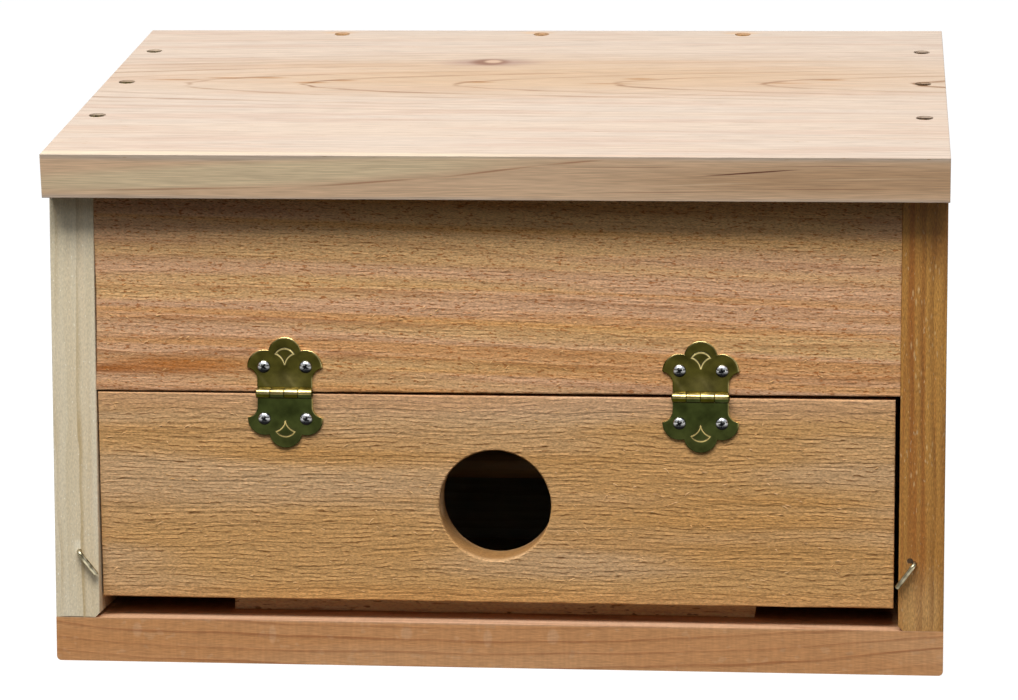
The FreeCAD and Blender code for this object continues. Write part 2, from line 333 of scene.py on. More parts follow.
def joint_of(body: Body) -> dict:
    """The joint that carries a body."""
    return next(joint for joint in frame["joints"] if joint["child"] == body.value)


def hung(points: Array, body: Body, lean: float = DOOR_LEAN) -> Array:
    """Turns places laid out plumb to the lean at which the closed door rests on its stop.

    The door's y and z turn about the hinge pins by the lean; other bodies stay as they are.

    Args:
        points: Places in millimetres, the last axis x, y, z.
        body: What they belong to.
        lean: The turn in radians, negative to go back to plumb.

    Returns:
        The places in the frame.
    """
    if body is not Body.DOOR:
        return points
    pin = np.array(joint_of(body)["pos_m"]) / MM
    turn = np.array(Matrix.Rotation(lean, 3, "X"))
    return pin + (points - pin) @ turn.T


def node_box(node: str, body: Body = Body.BOX) -> tuple[Array, Array]:
    """Measures a CAD node, the door's nodes taken plumb.

    Args:
        node: The node's name.
        body: What it moves with.

    Returns:
        Lowest and highest corner in millimetres.
    """
    mesh = frame["nodes"][node].data
    places = np.empty(3 * len(mesh.vertices), np.float32)
    mesh.vertices.foreach_get("co", places)
    plumb = hung(places.reshape(-1, 3) / MM, body, -DOOR_LEAN)
    return plumb.min(axis=0), plumb.max(axis=0)


@dataclass(frozen=True)
class Mark:
    """A soft-edged patch of another colour in the wood: an ellipsoid in the frame, in millimetres.

    A tilt in degrees raises its right end.
    """

    centre: Point
    radii: Point
    colour: str
    strength: float = 0.7
    edge: float = 0.6
    tilt: float = 0.0


@dataclass(frozen=True)
class SawLines:
    """Layers torn by the saw, each overhanging the next, with a dark line of painted shade under its edge.

    Lengths are millimetres.
    """

    spacing: float = 2.1
    wander: float = 6.0
    wander_long: float = 60.0
    wander_tall: float = 22.0
    jitter: float = 1.2
    jitter_long: float = 8.0
    dash: float = 9.0
    bare: float = 0.38
    bare_soft: float = 0.25
    row_step: float = 7.31
    depth_share: float = 0.8
    depth: float = 0.28
    shade: str = "57360f"
    shade_depth: float = 0.85
    shade_start: float = 0.66
    shade_full: float = 0.95

    def layers(self, tree: Tree, place: Socket) -> tuple[Socket, Socket]:
        """The torn layers over a face.

        A level is the height, with most of the depth added so that level faces are lined too, bent by
        a slow and a quick noise; each step of the spacing is one layer, broken into dashes by a noise
        of its own. A layer stands out by the square of the share left to its top, and the one below
        carries painted shade close under it.

        Args:
            tree: The material's tree.
            place: Coordinates in millimetres, the first along the grain and the third up.

        Returns:
            The height of the layers in millimetres and the painted shade from 0 to 1.
        """
        along, deep, high = add(tree, "SeparateXYZ", {0: place}).node.outputs
        level = add(tree, "Math", {0: deep, 1: self.depth_share, 2: high}, operation="MULTIPLY_ADD")
        slow = streaks(tree, place, self.wander_long, self.wander_tall, 0.0)
        quick = streaks(tree, place, self.jitter_long, self.spacing, 1.0)
        for bend, reach in ((slow, self.wander), (quick, self.jitter)):
            level = add(tree, "Math", {0: bend, 1: reach, 2: level}, operation="MULTIPLY_ADD")
        count = add(tree, "Math", {0: level, 1: self.spacing}, operation="DIVIDE")
        share = add(tree, "Math", {0: count}, operation="FRACT")
        number = add(tree, "Math", {0: count}, operation="FLOOR")
        run = add(tree, "Math", {0: along, 1: self.dash}, operation="DIVIDE")
        dashes = []
        for above in (0.0, 1.0):
            row = add(tree, "Math", {0: number, 1: above}, operation="ADD")
            spread = add(tree, "Math", {0: row, 1: self.row_step}, operation="MULTIPLY")
            spot = add(tree, "CombineXYZ", {0: run, 1: spread})
            chance = add(tree, "TexNoise", {"Vector": spot, "Scale": 1.0, "Detail": 1.0})
            shown = {0: chance, 1: self.bare, 2: self.bare + self.bare_soft}
            dashes.append(add(tree, "MapRange", shown, **SMOOTH))
        left = add(tree, "Math", {0: 1.0, 1: share}, operation="SUBTRACT")
        bulge = add(tree, "Math", {0: left, 1: 2.0}, operation="POWER")
        thick = add(tree, "Math", {0: dashes[0], 1: self.depth}, operation="MULTIPLY")
        height = add(tree, "Math", {0: bulge, 1: thick}, operation="MULTIPLY")
        under = add(tree, "MapRange", {0: share, 1: self.shade_start, 2: self.shade_full}, **SMOOTH)
        shade = add(tree, "Math", {0: under, 1: dashes[1]}, operation="MULTIPLY")
        return height, shade


@dataclass(frozen=True)
class Timber:
    """Wood as growth rings round a pith line, cut through by the board's faces.

    The rings are cylinders round the pith, which sways along the grain and may lean to it; each ring
    goes from pale early wood to a thin dark line of late wood. Fibres are drawn out along the grain.
    Lengths are millimetres, depths are shares of a colour, and the bow is the rise of the rings over
    the first 100 mm from the middle.
    """

    # Where a noise begins to show and where it shows in full, the same in every board.
    PATCH_CUT: ClassVar[Span] = (0.40, 0.62)
    TINT_CUT: ClassVar[Span] = (0.48, 0.66)
    DASH_CUT: ClassVar[Span] = (0.35, 0.62)
    FIBRE_CUT: ClassVar[Span] = (0.25, 0.75)
    KNIFE_CUT: ClassVar[Span] = (0.3, 0.7)
    FLECK_SOFT: ClassVar[float] = 0.07
    # Length and width of the noises that every board shares.
    WAVER_SIZE: ClassVar[Span] = (40.0, 5.0)
    DASH_SIZE: ClassVar[Span] = (55.0, 7.0)
    KNIFE_SIZE: ClassVar[Span] = (1.3, 9.0)
    # Stripes of the tint are longer and narrower than the patches, and the sway changes slowly across.
    STRIPE: ClassVar[Span] = (1.7, 0.6)
    SWAY_ACROSS: ClassVar[float] = 0.3
    BOW_REACH: ClassVar[float] = 100.0
    # What is left of a line where it is weakest: by ring, by dash, by distance and by slant.
    WEAKEST: ClassVar[tuple[float, ...]] = (0.2, 0.3, 0.25, 0.2)
    # Shares of a ring at which its line is full and at which it breaks off.
    LINE_FULL: ClassVar[float] = 0.9
    LINE_BREAK: ClassVar[float] = 0.93
    # Slants of the rings to a grazing face: the least that counts, and where the lines fade.
    LEAST_SLANT: ClassVar[float] = 0.04
    SLANT_FADE: ClassVar[Span] = (0.2, 0.85)
    # A mark ends where its own distance and a share of a noise add up to this.
    MARK_END: ClassVar[float] = 1.25
    MARK_RAGGED: ClassVar[float] = 0.5
    GROOVE_STRENGTH: ClassVar[float] = 0.7
    DRY_SHINE: ClassVar[float] = 0.3

    name: str
    early: str
    late: str
    patch: str
    tint: str
    fleck: str
    pith: Point
    grain: Grain = Grain.ALONG_X
    lean: float = 0.0
    ring: float = 3.2
    sway: float = 6.0
    sway_length: float = 150.0
    ring_depth: float = 0.5
    ring_fade: float = 400.0
    fibre_depth: float = 0.10
    fibre_long: float = 27.0
    fibre_width: float = 0.6
    patch_long: float = 110.0
    patch_width: float = 14.0
    patch_depth: float = 0.6
    tint_depth: float = 0.5
    fleck_long: float = 5.0
    fleck_width: float = 0.7
    fleck_start: float = 0.70
    fleck_depth: float = 0.75
    chatter: float = 0.0
    roughness: float = 0.62
    bump: float = 0.05
    waver: float = 1.0
    bow: float = 0.0
    grazed: Point | None = None
    line: float = 0.5
    late_start: float = 0.25
    saw: SawLines | None = None
    marks: tuple[Mark, ...] = ()

    def marked(self, tree: Tree, colour: Socket, object_place: Socket, ragged: Socket) -> Socket:
        """Lays the marks over a colour.

        Args:
            tree: The material's tree.
            colour: The wood's colour so far.
            object_place: Object coordinates in metres.
            ragged: Noise that roughens each mark's edge.

        Returns:
            The colour with every mark in it.
        """
        for mark in self.marks:
            local = add(tree, "Mapping", {
                "Vector": object_place, "Location": tuple(c * MM for c in mark.centre),
                "Rotation": (0.0, -math.radians(mark.tilt), 0.0), "Scale": tuple(r * MM for r in mark.radii),
            }, vector_type="TEXTURE")
            far = add(tree, "VectorMath", {0: local}, operation="LENGTH", out="Value")
            rough = add(tree, "Math", {0: ragged, 1: self.MARK_RAGGED, 2: far}, operation="MULTIPLY_ADD")
            soft = {0: rough, 1: self.MARK_END, 2: self.MARK_END - mark.edge, 4: mark.strength}
            inside = add(tree, "MapRange", soft, **SMOOTH)
            colour = add(tree, "Mix", {0: inside, 6: colour, 7: linear(mark.colour)}, **COLOURS)
        return colour

    def along_grain(self, tree: Tree, object_place: Socket, lean: float) -> Socket:
        """Object coordinates turned so that the first runs along the pith, from the pith, in millimetres.

        Args:
            tree: The material's tree.
            object_place: Object coordinates in metres.
            lean: Lean of the pith to the board in degrees.

        Returns:
            The turned coordinates.
        """
        angle = self.grain.value + math.radians(lean)
        middle = tuple(-(Matrix.Rotation(angle, 3, "Y") @ Vector(self.pith)))
        return add(tree, "Mapping", {
            "Vector": object_place, "Location": middle, "Rotation": (0.0, angle, 0.0), "Scale": (1 / MM,) * 3,
        })

    def late_wood(self, tree: Tree, place: Socket) -> tuple[Socket, Socket]:
        """The dark lines of late wood.

        A ring's share runs from 0 to 1 between two lines; the line builds up over the share and
        breaks off sharply. Each ring has its own strength, and dashes of it fade out.

        Args:
            tree: The material's tree.
            place: Coordinates along the grain.

        Returns:
            The line itself from 0 to 1, and the part of it that colours the wood.
        """
        wide = self.SWAY_ACROSS / self.sway_length
        drawn_out = (1 / self.sway_length, wide, wide)
        slow = add(tree, "VectorMath", {0: place, 1: drawn_out}, operation="MULTIPLY")
        bend = add(tree, "TexNoise", {"Vector": slow, "Scale": 1.0, "Detail": 1.5}, out="Color")
        swing = (0.0, 2 * self.sway, 2 * self.sway)
        swayed = add(tree, "VectorMath", {0: bend, 1: swing, 2: place}, operation="MULTIPLY_ADD")
        if self.bow:
            along = add(tree, "SeparateXYZ", {0: place}, out="X")
            square = add(tree, "Math", {0: along, 1: along}, operation="MULTIPLY")
            fall = add(tree, "Math", {0: square, 1: -self.bow / self.BOW_REACH ** 2}, operation="MULTIPLY")
            bowed = add(tree, "CombineXYZ", {2: fall})
            swayed = add(tree, "VectorMath", {0: swayed, 1: bowed}, operation="ADD")
        across = add(tree, "VectorMath", {0: swayed, 1: (0.0, 1.0, 1.0)}, operation="MULTIPLY")
        radius = add(tree, "VectorMath", {0: across}, operation="LENGTH", out="Value")
        quick = streaks(tree, place, *self.WAVER_SIZE)
        waver = add(tree, "Math", {0: quick, 1: self.waver}, operation="MULTIPLY")
        count = add(tree, "Math", {0: radius, 1: 1 / self.ring, 2: waver}, operation="MULTIPLY_ADD")
        share = add(tree, "Math", {0: count}, operation="FRACT")
        number = add(tree, "Math", {0: count}, operation="FLOOR")
        chance = add(tree, "TexWhiteNoise", {"W": number}, noise_dimensions="1D", out="Value")
        by_ring, by_dash, by_distance, by_slant = self.WEAKEST
        own = add(tree, "MapRange", {0: chance, 3: by_ring * self.ring_depth, 4: self.ring_depth})
        broken = streaks(tree, place, *self.DASH_SIZE)
        dashed = add(tree, "MapRange", {0: broken, 1: self.DASH_CUT[0], 2: self.DASH_CUT[1], 3: by_dash})
        if self.grazed:
            line, faded = self.even_lines(tree, across, share, by_slant)
        else:
            rise = add(tree, "MapRange", {0: share, 1: self.late_start, 2: self.LINE_FULL}, **SMOOTH)
            end = add(tree, "MapRange", {0: share, 1: 1.0, 2: self.LINE_BREAK}, **SMOOTH)
            line = add(tree, "Math", {0: rise, 1: end}, operation="MULTIPLY")
            fading = {0: radius, 2: self.ring_fade, 3: 1.0, 4: by_distance}
            faded = add(tree, "MapRange", fading, **SMOOTH)
        shown = line
        for factor in (own, dashed, faded):
            shown = add(tree, "Math", {0: shown, 1: factor}, operation="MULTIPLY")
        return line, shown

    def even_lines(self, tree: Tree, across: Socket, share: Socket, weakest: float) -> tuple[Socket, Socket]:
        """Lines of one thickness on the face that grazes the rings, and how they fade away from the crest.

        The slant of the rings to the face is the sine of the angle between its normal and the ring's
        radius; the distance to a line is the ring's share times its width over the slant.

        Args:
            tree: The material's tree.
            across: Coordinates from the pith with the first set to 0.
            share: The ring's share.
            weakest: What is left of a line where the rings are steep to the face.

        Returns:
            The line from 0 to 1, and the fade.
        """
        angle = self.grain.value + math.radians(self.lean)
        normal = tuple(Matrix.Rotation(angle, 3, "Y") @ Vector(self.grazed).normalized())
        outward = add(tree, "VectorMath", {0: across}, operation="NORMALIZE")
        facing = add(tree, "VectorMath", {0: outward, 1: normal}, operation="DOT_PRODUCT", out="Value")
        square = add(tree, "Math", {0: facing, 1: facing}, operation="MULTIPLY")
        rest = add(tree, "Math", {0: 1.0, 1: square}, operation="SUBTRACT")
        slant = add(tree, "Math", {0: rest, 1: 0.5}, operation="POWER")
        slant = add(tree, "Math", {0: slant, 1: self.LEAST_SLANT}, operation="MAXIMUM")
        off = add(tree, "Math", {0: share, 1: 0.5}, operation="SUBTRACT")
        gap = add(tree, "Math", {0: off}, operation="ABSOLUTE")
        ratio = add(tree, "Math", {0: gap, 1: slant}, operation="DIVIDE")
        line = add(tree, "MapRange", {0: ratio, 1: self.line / self.ring, 2: 0.0}, **SMOOTH)
        flat, steep = self.SLANT_FADE
        faded = add(tree, "MapRange", {0: slant, 1: flat, 2: steep, 3: 1.0, 4: weakest}, **SMOOTH)
        return line, faded

    @cache
    def material(self) -> bpy.types.Material:
        """Builds the finish: rings, fibres, patches and flecks, with a dry, faintly grooved surface.

        Returns:
            The material, the same one at each call.
        """
        material, tree = new_material(self.name)
        object_place = add(tree, "TexCoord", out="Object")
        place = self.along_grain(tree, object_place, self.lean)
        straight = self.along_grain(tree, object_place, 0.0)
        line, late = self.late_wood(tree, place)
        # Single fibres are about 0.03 mm wide, so they are drawn as bundles that show at this distance.
        fibre = streaks(tree, straight, self.fibre_long, self.fibre_width)
        blotch = streaks(tree, place, self.patch_long, self.patch_width, 1.0)
        long, wide = self.STRIPE
        stripe = streaks(tree, place, long * self.patch_long, wide * self.patch_width)
        short = streaks(tree, place, self.fleck_long, self.fleck_width, 1.0)
        fleck_cut = (self.fleck_start, self.fleck_start + self.FLECK_SOFT)
        colour = linear(self.early)
        for noise, (none, full), depth, shade in (
            (blotch, self.PATCH_CUT, self.patch_depth, self.patch),
            (stripe, self.TINT_CUT, self.tint_depth, self.tint),
            (short, fleck_cut, self.fleck_depth, self.fleck),
        ):
            amount = add(tree, "MapRange", {0: noise, 1: none, 2: full, 4: depth}, **SMOOTH)
            colour = add(tree, "Mix", {0: amount, 6: colour, 7: linear(shade)}, **COLOURS)
        ridge = add(tree, "Math", {0: fibre, 1: line}, operation="ADD")
        height = add(tree, "Math", {0: ridge, 1: self.bump}, operation="MULTIPLY")
        if self.saw:
            torn, shade = self.saw.layers(tree, place)
            height = add(tree, "Math", {0: height, 1: torn}, operation="ADD")
            # The torn layers' shade is painted shade: a darker colour close under each layer's edge.
            dark = add(tree, "Math", {0: shade, 1: self.saw.shade_depth}, operation="MULTIPLY")
            colour = add(tree, "Mix", {0: dark, 6: colour, 7: linear(self.saw.shade)}, **COLOURS)
        colour = self.marked(tree, colour, object_place, blotch)
        colour = add(tree, "Mix", {0: late, 6: colour, 7: linear(self.late)}, **COLOURS)
        ripples = [(fibre, self.FIBRE_CUT, self.fibre_depth)]
        if self.chatter:
            # The planer's knives leave a faint ripple about 2.5 mm apart across the grain.
            ripples.append((streaks(tree, place, *self.KNIFE_SIZE, 0.0), self.KNIFE_CUT, self.chatter))
        for noise, (none, full), depth in ripples:
            lit = {0: noise, 1: none, 2: full, 3: 1 - depth, 4: 1 + depth}
            bright = add(tree, "MapRange", lit)
            colour = add(tree, "VectorMath", {0: colour, "Scale": bright}, operation="SCALE")
        grooves = add(tree, "Bump", {"Height": height, "Strength": self.GROOVE_STRENGTH, "Distance": MM})
        shader = add(tree, "BsdfPrincipled", {
            "Base Color": colour, "Normal": grooves, "Roughness": self.roughness,
            "Specular IOR Level": self.DRY_SHINE,
        })
        add(tree, "OutputMaterial", {"Surface": shader})
        return material


@dataclass(frozen=True)
class Metal:
    """Metal that is dull where it is untouched and bright along edges with wear.

    Each piece carries a number at each point, from 0 on flats to 1 on edges with wear. The number
    also holds painted light: painted highlights where edges and knuckles look up, and painted shade,
    near 0, in recesses and on parts that look down.
    """

    # Where the clouds in the metal begin and end.
    CLOUD_CUT: ClassVar[Span] = (0.3, 0.7)

    name: str
    dull: str
    bright: str
    dull_roughness: float
    bright_roughness: float
    cloud: float = 5.0
    cloud_depth: float = 0.35
    graze: str = "ffffff"

    @cache
    def material(self) -> bpy.types.Material:
        """Builds the finish: cloudy dull metal with a bright, smoother wear along the edges, and the
        painted highlights and painted shade that each point's number holds.

        Returns:
            The material, the same one at each call.
        """
        material, tree = new_material(self.name)
        object_place = add(tree, "TexCoord", out="Object")
        scale = (1 / (MM * self.cloud),) * 3
        place = add(tree, "Mapping", {"Vector": object_place, "Scale": scale})
        cloud = add(tree, "TexNoise", {"Vector": place, "Scale": 1.0, "Detail": 3.0})
        wear_and_painted_light = add(tree, "Attribute", attribute_name=WEAR_AND_LIGHT, out="Fac")
        thin, thick = self.CLOUD_CUT
        lit = {0: cloud, 1: thin, 2: thick, 3: 1 - self.cloud_depth, 4: 1 + self.cloud_depth}
        bright = add(tree, "MapRange", lit)
        shades = {0: wear_and_painted_light, 6: linear(self.dull), 7: linear(self.bright)}
        colour = add(tree, "Mix", shades, **COLOURS)
        shown = add(tree, "VectorMath", {0: colour, "Scale": bright}, operation="SCALE")
        gloss = {0: wear_and_painted_light, 3: self.dull_roughness, 4: self.bright_roughness}
        shader = add(tree, "BsdfPrincipled", {
            "Base Color": shown, "Metallic": 1.0, "Roughness": add(tree, "MapRange", gloss),
            "Specular Tint": linear(self.graze),
        })
        add(tree, "OutputMaterial", {"Surface": shader})
        return material


ROOF_MARKS = (
    # The top is browner along its middle, and a cream band along its front arris is a painted highlight.
    Mark((20.0, 18.0, 246.0), (330.0, 62.0, 40.0), "b68f60", 0.55, 0.9),
    Mark((-190.0, -129.5, 220.7), (240.0, 5.0, 2.2), "d6c6a4", 0.6, 0.7),
    # The front edge is warmer than the top and painted paler, painted light for a face that the lamps light
    # less; it is sage at its upper left and redder to the right.
    Mark((0.0, -131.1, 210.6), (900.0, 5.0, 10.2), "e0ba93", 0.85, 0.25),
    Mark((-105.0, -131.1, 212.3), (150.0, 6.0, 7.6), "e2cca4", 0.8, 0.6, 3.0),
    Mark((160.0, -131.1, 210.6), (150.0, 5.0, 10.2), "ba926b", 0.7, 0.7),
    # Reddish rings end in the front edge.
    *(Mark((x, -131.3, z), (long, 6.0, 0.6), "a06a48", 0.7, 0.9, tilt) for x, z, long, tilt in (
        (-135.0, 205.6, 60.0, 1.2), (-52.0, 208.8, 34.0, 4.4), (0.0, 213.7, 28.0, 7.1),
        (36.0, 217.8, 16.0, 5.0))),
    # To the right the edge is finely striped.
    *(Mark((x, -131.3, z), (long, 6.0, 0.36), colour, 0.6, 0.9, tilt) for x, z, long, tilt, colour in (
        (66.0, 205.2, 42.0, 1.0, "8a5c40"), (88.0, 208.6, 36.0, 2.2, "e4c8a4"),
        (62.0, 215.8, 40.0, 0.6, "8f6246"), (142.0, 206.9, 46.0, 0.4, "8a5c40"),
        (158.0, 211.2, 40.0, 0.9, "dfc09a"), (146.0, 216.6, 44.0, 0.3, "8f6246"))),
    # A dark resin streak in the front edge.
    Mark((108.0, -131.6, 213.6), (27.0, 4.0, 0.42), "5e3020", 0.95, 0.6, 4.2),
    # A small knot and the torn flecks at the flames' tips.
    Mark((-18.5, 46.6, 251.5), (30.0, 12.0, 6.0), "97786a", 0.7, 0.9),
    Mark((-18.5, 47.6, 251.7), (11.0, 9.0, 5.0), "7e573f", 0.85, 0.6),
    Mark((-17.0, 48.6, 251.9), (5.0, 4.6, 3.0), "c9a98c", 0.8, 0.6),
    *(Mark((x, y, z), (11.0, 2.4, 4.0), "96652c", 0.8, 0.9)
      for x, y, z in ((-19.6, 5.8, 244.4), (53.5, 12.8, 245.6), (139.3, 11.7, 245.4), (-95.7, 4.0, 244.0))),
    *(Mark((x, y, 246.0), (long, 2.0, 5.0), "96652f", 0.85, 0.9)
      for x, y, long in ((-158.0, 9.0, 20.0), (-136.0, 13.0, 15.0), (-118.0, 13.5, 14.0), (-82.0, 8.0, 10.0),
                         (40.0, 3.0, 20.0), (118.0, 5.0, 20.0), (90.0, -24.0, 24.0))),
    # Wood bruised round the back row of screws.
    *(Mark((x, 111.8, 262.9), (11.0, 3.5, 4.0), "c9a070", 0.6, 0.9) for x in (-97.9, -1.9, 95.5)),
)
# Western red cedar, planed: pale, faintly pink, with orange flame lines where the cut grazes the rings.
ROOF_CEDAR = Timber(
    "planed_cedar_roof", early="c0ad99", late="7a4f24", patch="c4ae97", tint="b99d87", fleck="a98660",
    pith=(0.0, 10.0, 208.3), lean=3.6, ring=4.2, sway=2.0, waver=0.3, ring_depth=1.0, fibre_depth=0.20,
    fibre_long=16.0, fibre_width=0.45, fleck_start=0.72, patch_long=260.0, roughness=0.55,
    grazed=(0.0, -0.1719, 0.9851), line=2.0, marks=ROOF_MARKS,
)
# Planed cedar heartwood: reddish brown with slow curving lines and the planer's ripple.
BASE_CEDAR = Timber(
    "planed_cedar_red", early="c18a59", late="8a4f28", patch="c79668", tint="bd834e", fleck="cba37c",
    pith=(0.0, -80.0, -60.0), lean=0.9, bow=2.4, ring=5.2, sway=1.4, waver=0.55, ring_depth=0.75,
    late_start=0.7, fibre_depth=0.18, fibre_long=4.5, fibre_width=0.45, fleck_width=4.0, fleck_start=0.64,
    fleck_depth=0.25, chatter=0.045, roughness=0.5,
    # The planer has skipped here and there, and the step before the door is painted paler: a painted pool of
    # light that reaches in under the door.
    marks=(*(Mark((x, -117.5, z), (wide, 4.0, tall), "d8ad86", 0.32, 0.5) for x, z, wide, tall in (
        (-155.0, 14.0, 2.6, 4.0), (-96.0, 13.0, 2.0, 5.0), (-38.0, 14.5, 3.0, 3.5), (-3.0, 12.5, 2.2, 4.5),
        (25.0, 14.0, 2.8, 4.0))),
           Mark((0.0, -112.0, 19.6), (420.0, 14.0, 1.6), "d2b196", 0.7, 0.9),
           # The floor inside is pale grey: partly dust, partly painted light for the dim inside seen through
           # the hole.
           Mark((0.0, 40.0, 19.0), (700.0, 130.0, 4.0), "c4bda8", 0.75, 0.9)),
)
# Cedar sapwood, planed: greenish cream with faint straight lines, torn pale round the hook.
SAP_CEDAR = Timber(
    "planed_cedar_sapwood", early="dfd0b2", late="b59a6c", patch="d6c6a4", tint="dac49f", fleck="f2ead6",
    grain=Grain.ALONG_Z, pith=(-120.0, -160.0, 0.0), ring=3.9, sway=2.0, ring_depth=0.95, fibre_depth=0.15,
    fibre_long=1.4, fleck_long=1.6, fleck_width=0.8, fleck_start=0.68, roughness=0.55,
    marks=(Mark((-180.2, -117.5, 50.0), (3.2, 3.0, 4.5), "ece0c4", 0.75, 0.7),
           # A dark line of painted shade at the foot, where the side meets the base.
           Mark((-181.0, -117.5, 19.1), (11.0, 4.0, 0.5), "4a3a20", 0.85, 0.5)),
)
# Cedar heartwood, planed: warm brown with fine upright lines and paler scuffs.
HEART_CEDAR = Timber(
    "planed_cedar_heartwood", early="ab7838", late="6a3d16", patch="b78540", tint="935520", fleck="cfb287",
    grain=Grain.ALONG_Z, pith=(130.0, -190.0, 0.0), ring=2.6, sway=2.5, ring_depth=0.95, fibre_depth=0.38,
    fibre_long=1.8, fibre_width=0.5, patch_width=8.0, tint_depth=0.7, fleck_long=3.0, fleck_width=0.8,
    fleck_start=0.68, fleck_depth=0.5, roughness=0.5,
    # The first mark is painted shade: a near-black dot for the hook's hole beside the wire.
    marks=(Mark((176.2, -117.5, 49.1), (1.4, 3.0, 1.2), "120a04", 1.0, 0.3),
           Mark((186.0, -117.5, 185.0), (7.0, 8.0, 26.0), "7c4a20", 0.6, 0.9),
           # The foot is paler, and fine scuffs lie in clusters.
           Mark((181.0, -117.5, 28.0), (16.0, 4.0, 24.0), "c59a62", 0.6, 0.9),
           *(Mark((x + aside, -117.5, z + lift), (0.55, 4.0, tall), "dcb982", 0.5, 0.9)
             for x, z, tall in (
                 (184.5, 171.0, 1.6), (177.5, 161.0, 2.2), (183.0, 150.0, 1.8), (177.0, 139.0, 2.4),
                 (179.0, 126.0, 2.0), (184.5, 143.0, 1.4), (184.0, 96.0, 2.0), (177.5, 84.0, 1.6))
             for aside, lift in ((-1.3, 1.6), (0.0, -2.1), (1.0, 2.9)))),
)
# Cedar for the back, planed on the outside.
BACK_CEDAR = Timber(
    "planed_cedar_back", early="c6ab87", late="9c7a54", patch="cbb392", tint="bc9b72", fleck="ddcdb0",
    pith=(0.0, 150.0, 140.0), ring=4.0, sway=7.0, ring_depth=0.6, fibre_depth=0.08, roughness=0.6,
    # The inside is painted paler and greyer: painted light for the dim inside seen through the hole.
    marks=(Mark((0.0, 96.0, 110.0), (700.0, 6.0, 300.0), "e6e2d4", 0.9, 0.3),),
)
# Rough-sawn cedar: torn fibres stand up in dashes, orange with painted shade in the hollows under them
# and dusty pink on the ridges.
SAWN_CEDAR = Timber(
    "rough_sawn_cedar", early="d0a46e", late="935a2a", patch="cfa07c", tint="ca8b3d", fleck="9a5518",
    pith=(0.0, -60.0, 60.0), lean=-1.8, ring=6.0, sway=4.0, ring_depth=0.6, fibre_depth=0.36,
    fibre_long=1.2, fibre_width=0.42, patch_long=260.0, patch_width=11.0, patch_depth=0.8, fleck_long=2.2,
    fleck_width=0.65, fleck_start=0.61, roughness=0.85, bump=0.12,
    saw=SawLines(spacing=1.5, wander=3.0, jitter=1.5, jitter_long=5.0, dash=4.5, bare=0.42, depth=0.2,
                 shade="6d4216", shade_depth=0.6),
    # Resin has stained the lower left, and a line of painted shadow stands for a fine gap at the left end.
    marks=(Mark((-166.0, -117.5, 127.5), (26.0, 5.0, 3.0), "8f4f16", 0.85, 0.9),
           Mark((-135.0, -117.5, 129.5), (60.0, 5.0, 7.0), "a86018", 0.8, 0.9),
           Mark((-171.3, -117.5, 152.0), (0.9, 4.0, 36.0), "20140a", 0.85, 0.5)),
)
# A browner board sawn the same way: longer dashes, and painted shade under each torn layer.
SAWN_TAN_CEDAR = Timber(
    "rough_sawn_cedar_tan", early="c9995f", late="b58347", patch="cba57a", tint="c28c4a", fleck="8f6530",
    pith=(0.0, -70.0, 190.0), ring=9.0, sway=5.0, ring_depth=0.3, fibre_depth=0.36, fibre_long=1.3,
    fibre_width=0.45, patch_long=160.0, patch_width=24.0, patch_depth=0.8, fleck_long=2.0, fleck_width=0.5,
    fleck_start=0.68, fleck_depth=0.7, roughness=0.85, bump=0.12,
    saw=SawLines(spacing=1.75, jitter=1.6, jitter_long=6.0, dash=6.0, shade="6b3f10"),
    # Pinker along the top, smoother and oranger along the bottom; the bore is darkened by painted shade, and
    # its left wall carries a painted pool of light.
    marks=(Mark((0.0, -117.3, 116.0), (420.0, 9.0, 12.0), "cfa585", 0.45, 0.9),
           Mark((0.0, -113.5, 28.5), (420.0, 4.0, 7.5), "cc9456", 0.7, 0.8),
           # Painted shade in the bore.
           Mark((0.0, -104.0, 70.4), (36.0, 15.0, 36.0), "8d6334", 0.75, 0.3),
           # A painted pool of light on the bore's left wall.
           Mark((-28.0, -104.0, 72.0), (8.0, 13.0, 13.0), "f0cb98", 0.8, 0.6)),
)
# The stop strip is an offcut, sawn all round and painted paler: partly paler wood, partly painted light
# for the door's shade that it sits in.
SAWN_OFFCUT = Timber(
    "rough_sawn_offcut", early="ffe6b4", late="e4b87c", patch="ffecc8", tint="f9d090", fleck="8f6530",
    pith=(0.0, -70.0, 90.0), ring=5.0, sway=5.0, ring_depth=0.4, fibre_depth=0.2, fibre_long=2.0,
    fleck_long=6.0, fleck_width=1.6, fleck_start=0.66, roughness=0.85, bump=0.12,
    saw=SawLines(spacing=3.0, bare=0.5, depth=0.3, shade="c4955a"),
)
# Single fibres torn loose by the saw, painted paler than the face: a painted highlight, as they stand in
# the light.
TORN_FIBRE = Timber(
    "torn_cedar_fibre_painted_lit", early="e3b67c", late="c48f50", patch="dcae7c", tint="d49a52", fleck="b57c3c",
    pith=(0.0, -70.0, 190.0), fibre_depth=0.2, roughness=0.8,
)
# Turned hardwood rod: close, even grain, slightly burnished.
DOWEL = Timber(
    "turned_dowel", early="c8a679", late="a9855a", patch="c09c70", tint="bd9766", fleck="9c7a50",
    pith=(0.0, -30.0, 60.0), ring=1.4, sway=1.0, ring_depth=0.4, fibre_depth=0.08, roughness=0.5,
)
# Stamped brass, lacquered and aged: dark olive flats, gold along the die's edges, partly from wear and
# partly as painted highlights where the edges look up.
BRASS = Metal("stamped_brass", dull="373407", bright="e8d290", dull_roughness=0.24, bright_roughness=0.22)
# The door's leaves are handled more and have gone darker.
DARK_BRASS = replace(BRASS, name="stamped_brass_dark", dull="313718", bright="dcc27c")
# Bright nickel plate over steel: grey mirror; painted shade darkens the driver's cross and, on screws
# driven sideways, the heads' lower halves.
NICKEL = Metal("nickel_plate", dull="1c1c1d", bright="d8d7d4", dull_roughness=0.35, bright_roughness=0.16,
               cloud_depth=0.1)
